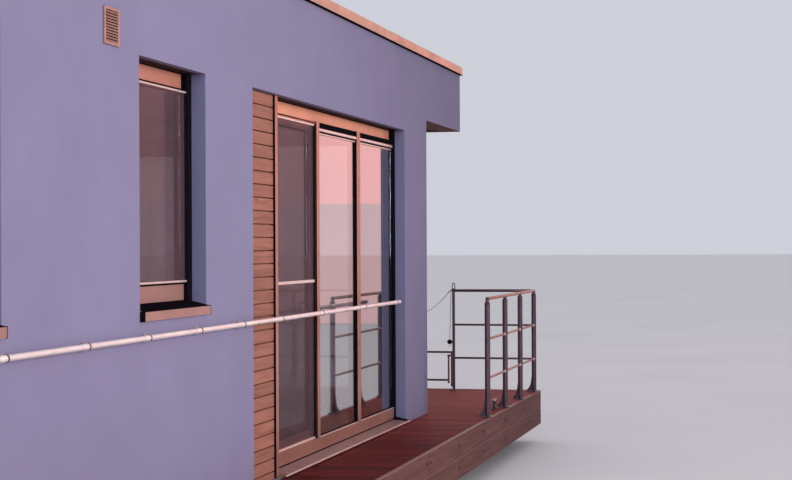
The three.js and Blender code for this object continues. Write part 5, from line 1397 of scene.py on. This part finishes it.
# Bathing ladder: dark-coated steel tube in two sections that fold together over the bow fascia, with rings
# turned into the rungs, rubber feet, and a bracket bolted through the fascia.
LADDER_Y, LADDER_PLANE = -1.405, 6.947
UPPER_HALF, LOWER_HALF = 0.2, 0.168
UPPER_RUNG, LOWER_RUNG = 1.363, 1.084
BRACKET_FACE, BRACKET_LEVELS = 6.937, (0.945, 0.975)
BRACKET_REACH, BRACKET_BOLTS = 0.04, (0.03, -0.015)
FOOT_LEVEL = 1.062
GRIP_RINGS, RUNG_RADIUS, UPPER_GRIP, LOWER_GRIP = 16, 0.01, 0.16, 0.13
RUNG_END = 0.026
ladder_tube = Finish("ladder_coat", 0.36, 0.5)
ladder_tube.colour(ladder_tube.tones((8, 4), from_screen(84, 54, 50), from_screen(108, 74, 68)))
for name in ("ladder_bracket", "ladder_upper", "ladder_lower"):
    dress(name, ladder_tube, 0.0008)
bracket_bolt = [(0, 0.009), (0.003, 0.009), (0.0035, 0.007), (0.007, 0.0065), (0.0085, 0.004)]
shape = bmesh.new()
for side in (-1, 1):
    for z in BRACKET_LEVELS:
        for dy in BRACKET_BOLTS:
            y = LADDER_Y + side * (UPPER_HALF - BRACKET_REACH) + dy * side
            turned(shape, (BRACKET_FACE, y, z), (1, 0, 0), bracket_bolt, 6)
fitted("ladder_bracket_bolts", shape, screw_steel)


def grip_rings(name, half, z, body):
    """Thin rings turned into a rung so that a wet foot holds on it."""
    ring = [(0, -0.0004), (0.001, 0.0006), (0.006, 0.0006), (0.007, -0.0004)]
    ring = [(along, RUNG_RADIUS + out) for along, out in ring]
    shape = bmesh.new()
    for i in range(GRIP_RINGS):
        y = LADDER_Y - half + (i + 0.25) * 2 * half / GRIP_RINGS
        turned(shape, (LADDER_PLANE, y, z), (0, 1, 0), ring)
    fitted(name, shape, ladder_tube, body)


grip_rings("upper_grip", UPPER_GRIP, UPPER_RUNG, "ladder_top_section")
grip_rings("lower_grip", LOWER_GRIP, LOWER_RUNG, "ladder_bottom_section")
foot = [(0, 0.0096), (0.002, 0.0106), (0.007, 0.0106), (0.0095, 0.009), (0.0098, 0.004)]
shape = bmesh.new()
for side in (-1, 1):
    turned(shape, (LADDER_PLANE, LADDER_Y + side * LOWER_HALF, FOOT_LEVEL), (0, 0, -1), foot)
fitted("ladder_feet", shape, plastic_and_shade_black, "ladder_bottom_section")
end_cap = [(0, 0.0104), (0.003, 0.0104), (0.0042, 0.009), (0.0046, 0.004)]
shape = bmesh.new()
for side in (-1, 1):
    y = LADDER_Y + side * (UPPER_HALF + RUNG_END)
    turned(shape, (LADDER_PLANE, y, UPPER_RUNG), (0, side, 0), end_cap)
fitted("ladder_end_caps", shape, plastic_and_shade_black, "ladder_top_section")

# Outboard motor on the stern plate: a moulded cowl over a cast midsection, gearcase and anti-cavitation
# plate. It is steered in a swivel that tilts in a clamp.
COWL_X = -6.818
LEG_X, PLATE_X = -6.834, -6.846
STEER_ARM_FRONT = -6.709
SHAFT_Z = 0.215
AIR_SLOTS, SLOT_LEVEL, SLOT_PITCH, SLOT_LEAN = 4, 1.16, 0.012, 0.0012
cast_paint = Finish("cast_paint", 0.4, 0.3)
cast_paint.colour(cast_paint.tones((12, 5), from_screen(44, 45, 50), from_screen(62, 63, 69)))
cast_paint.wear((60, 3), 0.32, 0.52)
cast_paint.relief(cast_paint.noise(350, 3), 0.25, 0.0008)
cowl_gloss = Finish("cowl_gloss", 0.22, Coat_Weight=0.5)
cowl_gloss.colour(cowl_gloss.tones((3, 4), from_screen(30, 32, 37), from_screen(42, 44, 50)))
cowl_gloss.wear((18, 4), 0.16, 0.32)
for name in ("motor_clamp", "motor_swivel"):
    dress(name, cast_paint, 0.0015)


def cowl_rings(shape, rings, sides=40, squareness=3.2):
    """A closed shell through rounded rings. Columns: level, middle, half length, half width."""
    made = []
    for z, middle, half_x, half_y in rings:
        ring = []
        for i in range(sides):
            a = 2 * math.pi * i / sides
            c, s = math.cos(a), math.sin(a)
            reach = (abs(c) ** squareness + abs(s) ** squareness) ** (-1 / squareness)
            ring.append(shape.verts.new((middle + half_x * c * reach, half_y * s * reach, z)))
        made.append(ring)
    skinned(shape, made)


shape = bmesh.new()
cowl_rings(shape, [
    (0.941, COWL_X, 0.112, 0.087),
    (0.948, COWL_X, 0.126, 0.1),
    (0.962, COWL_X, 0.133, 0.107),
    (1.006, COWL_X, 0.135, 0.108),
    (1.01, COWL_X, 0.132, 0.105),
])
fitted("motor_lower_cowl", shape, cast_paint, "outboard_motor", replaces=["motor"])
shape = bmesh.new()
cowl_rings(shape, [
    (1.009, COWL_X, 0.1305, 0.1035),
    (1.0135, COWL_X, 0.1305, 0.1035),
    (1.014, COWL_X, 0.1365, 0.1095),
    (1.02, COWL_X, 0.137, 0.11),
    (1.06, COWL_X, 0.1368, 0.1098),
    (1.1, COWL_X, 0.136, 0.109),
    (1.15, COWL_X - 0.001, 0.1335, 0.107),
    (1.19, COWL_X - 0.003, 0.127, 0.102),
    (1.218, COWL_X - 0.005, 0.116, 0.092),
    (1.236, COWL_X - 0.007, 0.1, 0.078),
    (1.2455, COWL_X - 0.009, 0.08, 0.06),
    (1.2495, COWL_X - 0.01, 0.05, 0.036),
])
fitted("motor_upper_cowl", shape, cowl_gloss, "outboard_motor")
shape = bmesh.new()
for i in range(AIR_SLOTS):
    z = SLOT_LEVEL + i * SLOT_PITCH
    for side in (-1, 1):
        y = sorted((side * 0.097, side * (0.1085 - i * SLOT_LEAN)))
        chamfered(shape, (COWL_X - 0.08, y[0], z), (COWL_X + 0.01, y[1], z + 0.006), 0.0015)
chamfered(shape, (COWL_X - 0.142, -0.03, 0.985), (COWL_X - 0.128, 0.03, 1.03), 0.004)
fitted("motor_air_slots", shape, plastic_and_shade_black, "outboard_motor")

shape = bmesh.new()
cowl_rings(shape, [
    (SHAFT_Z, LEG_X, 0.05, 0.014),
    (0.3, LEG_X, 0.048, 0.017),
    (0.44, -6.83, 0.047, 0.024),
    (0.62, -6.828, 0.05, 0.032),
    (0.8, -6.826, 0.054, 0.038),
    (0.9, -6.824, 0.07, 0.05),
    (0.945, -6.82, 0.098, 0.072),
], 32, 2.2)
for z0, z1 in ((0.9183, 0.946), (0.61, 0.6497)):
    chamfered(shape, (PLATE_X, -0.034, z0), (STEER_ARM_FRONT, 0.034, z1), 0.004)
cowl_rings(shape, [
    (0.3455, PLATE_X, 0.083, 0.068),
    (0.347, PLATE_X, 0.085, 0.071),
    (0.35, PLATE_X, 0.085, 0.071),
    (0.3515, PLATE_X, 0.083, 0.068),
], 36, 3.0)
gearcase = [
    (0, 0.003), (0.006, 0.012), (0.02, 0.022), (0.045, 0.031), (0.075, 0.036),
    (0.16, 0.036), (0.19, 0.033), (0.2085, 0.028), (0.2097, 0.02),
]
turned(shape, (-6.696, 0, SHAFT_Z), (-1, 0, 0), gearcase, 28)
skeg = [
    (-6.893, SHAFT_Z), (-6.796, SHAFT_Z), (-6.82, 0.16), (-6.866, 0.066),
    (-6.876, 0.062), (-6.898, 0.062), (-6.903, 0.068),
]
skinned(shape, [[shape.verts.new((x, y, z)) for x, z in skeg] for y in (-0.006, 0.006)])
fitted("motor_leg", shape, cast_paint, "outboard_motor")

# Propeller: three skewed blades of cast aluminium on a tapered hub. A nut holds the hub on the shaft behind
# the gearcase.
HUB_FRONT, BLADE_X = -6.9065, -6.9385
BLADES, STEPS, REACH = 3, 10, 9
BLADE_ROOT, BLADE_SPAN, BLADE_HALF = 0.019, 0.0975, 0.034
BLADE_PITCH, BLADE_THICK, BLADE_CAMBER, BLADE_SKEW = 0.62, 0.0028, 0.003, 0.012
propeller_metal = Finish("propeller_metal", 0.35, 0.8)
propeller_metal.colour(propeller_metal.tones((25, 4), (0.05, 0.052, 0.058), (0.1, 0.102, 0.11)))
hub = [
    (0, 0.02), (0.001, 0.0235), (0.006, 0.0245), (0.05, 0.021), (0.056, 0.019),
    (0.0565, 0.011), (0.063, 0.011), (0.0655, 0.008), (0.066, 0.003),
]
shape = bmesh.new()
turned(shape, (HUB_FRONT, 0, SHAFT_Z), (-1, 0, 0), hub, 24)


def blade_point(t, u, skin):
    """A point of an upright blade: t runs out from the root, u across it, and skin is its front or back."""
    half = BLADE_HALF * math.sqrt(max(0.0, 1 - (2 * t - 0.95) ** 2 / 1.15)) + 0.002
    pitch = BLADE_PITCH * (1.25 - 0.5 * t)
    across = half * u
    off = BLADE_CAMBER * (1 - u * u) + skin * (BLADE_THICK * (1 - u * u) * (1 - 0.6 * t) + 0.0005)
    return Vector((
        -across * math.sin(pitch) + off * math.cos(pitch),
        across * math.cos(pitch) + off * math.sin(pitch) + BLADE_SKEW * t * t,
        BLADE_ROOT + t * BLADE_SPAN,
    ))


for blade in range(BLADES):
    spin = Matrix.Rotation(2 * math.pi * blade / BLADES, 3, "X")
    skins = []
    for skin in (1, -1):
        grid = []
        for i in range(REACH + 1):
            row = [spin @ blade_point(i / REACH, 2 * k / STEPS - 1, skin) for k in range(STEPS + 1)]
            grid.append([shape.verts.new((p.x + BLADE_X, p.y, p.z + SHAFT_Z)) for p in row])
        skins.append(grid)
    for grid in skins:
        for i in range(REACH):
            for k in range(STEPS):
                shape.faces.new((grid[i][k], grid[i][k + 1], grid[i + 1][k + 1], grid[i + 1][k]))
    front, back = skins
    for i in range(REACH):
        for k in (0, STEPS):
            shape.faces.new((front[i][k], front[i + 1][k], back[i + 1][k], back[i][k]))
    for k in range(STEPS):
        for i in (0, REACH):
            shape.faces.new((front[i][k], front[i][k + 1], back[i][k + 1], back[i][k]))
fitted("propeller_cast", shape, propeller_metal, "outboard_propeller", replaces=["propeller"])
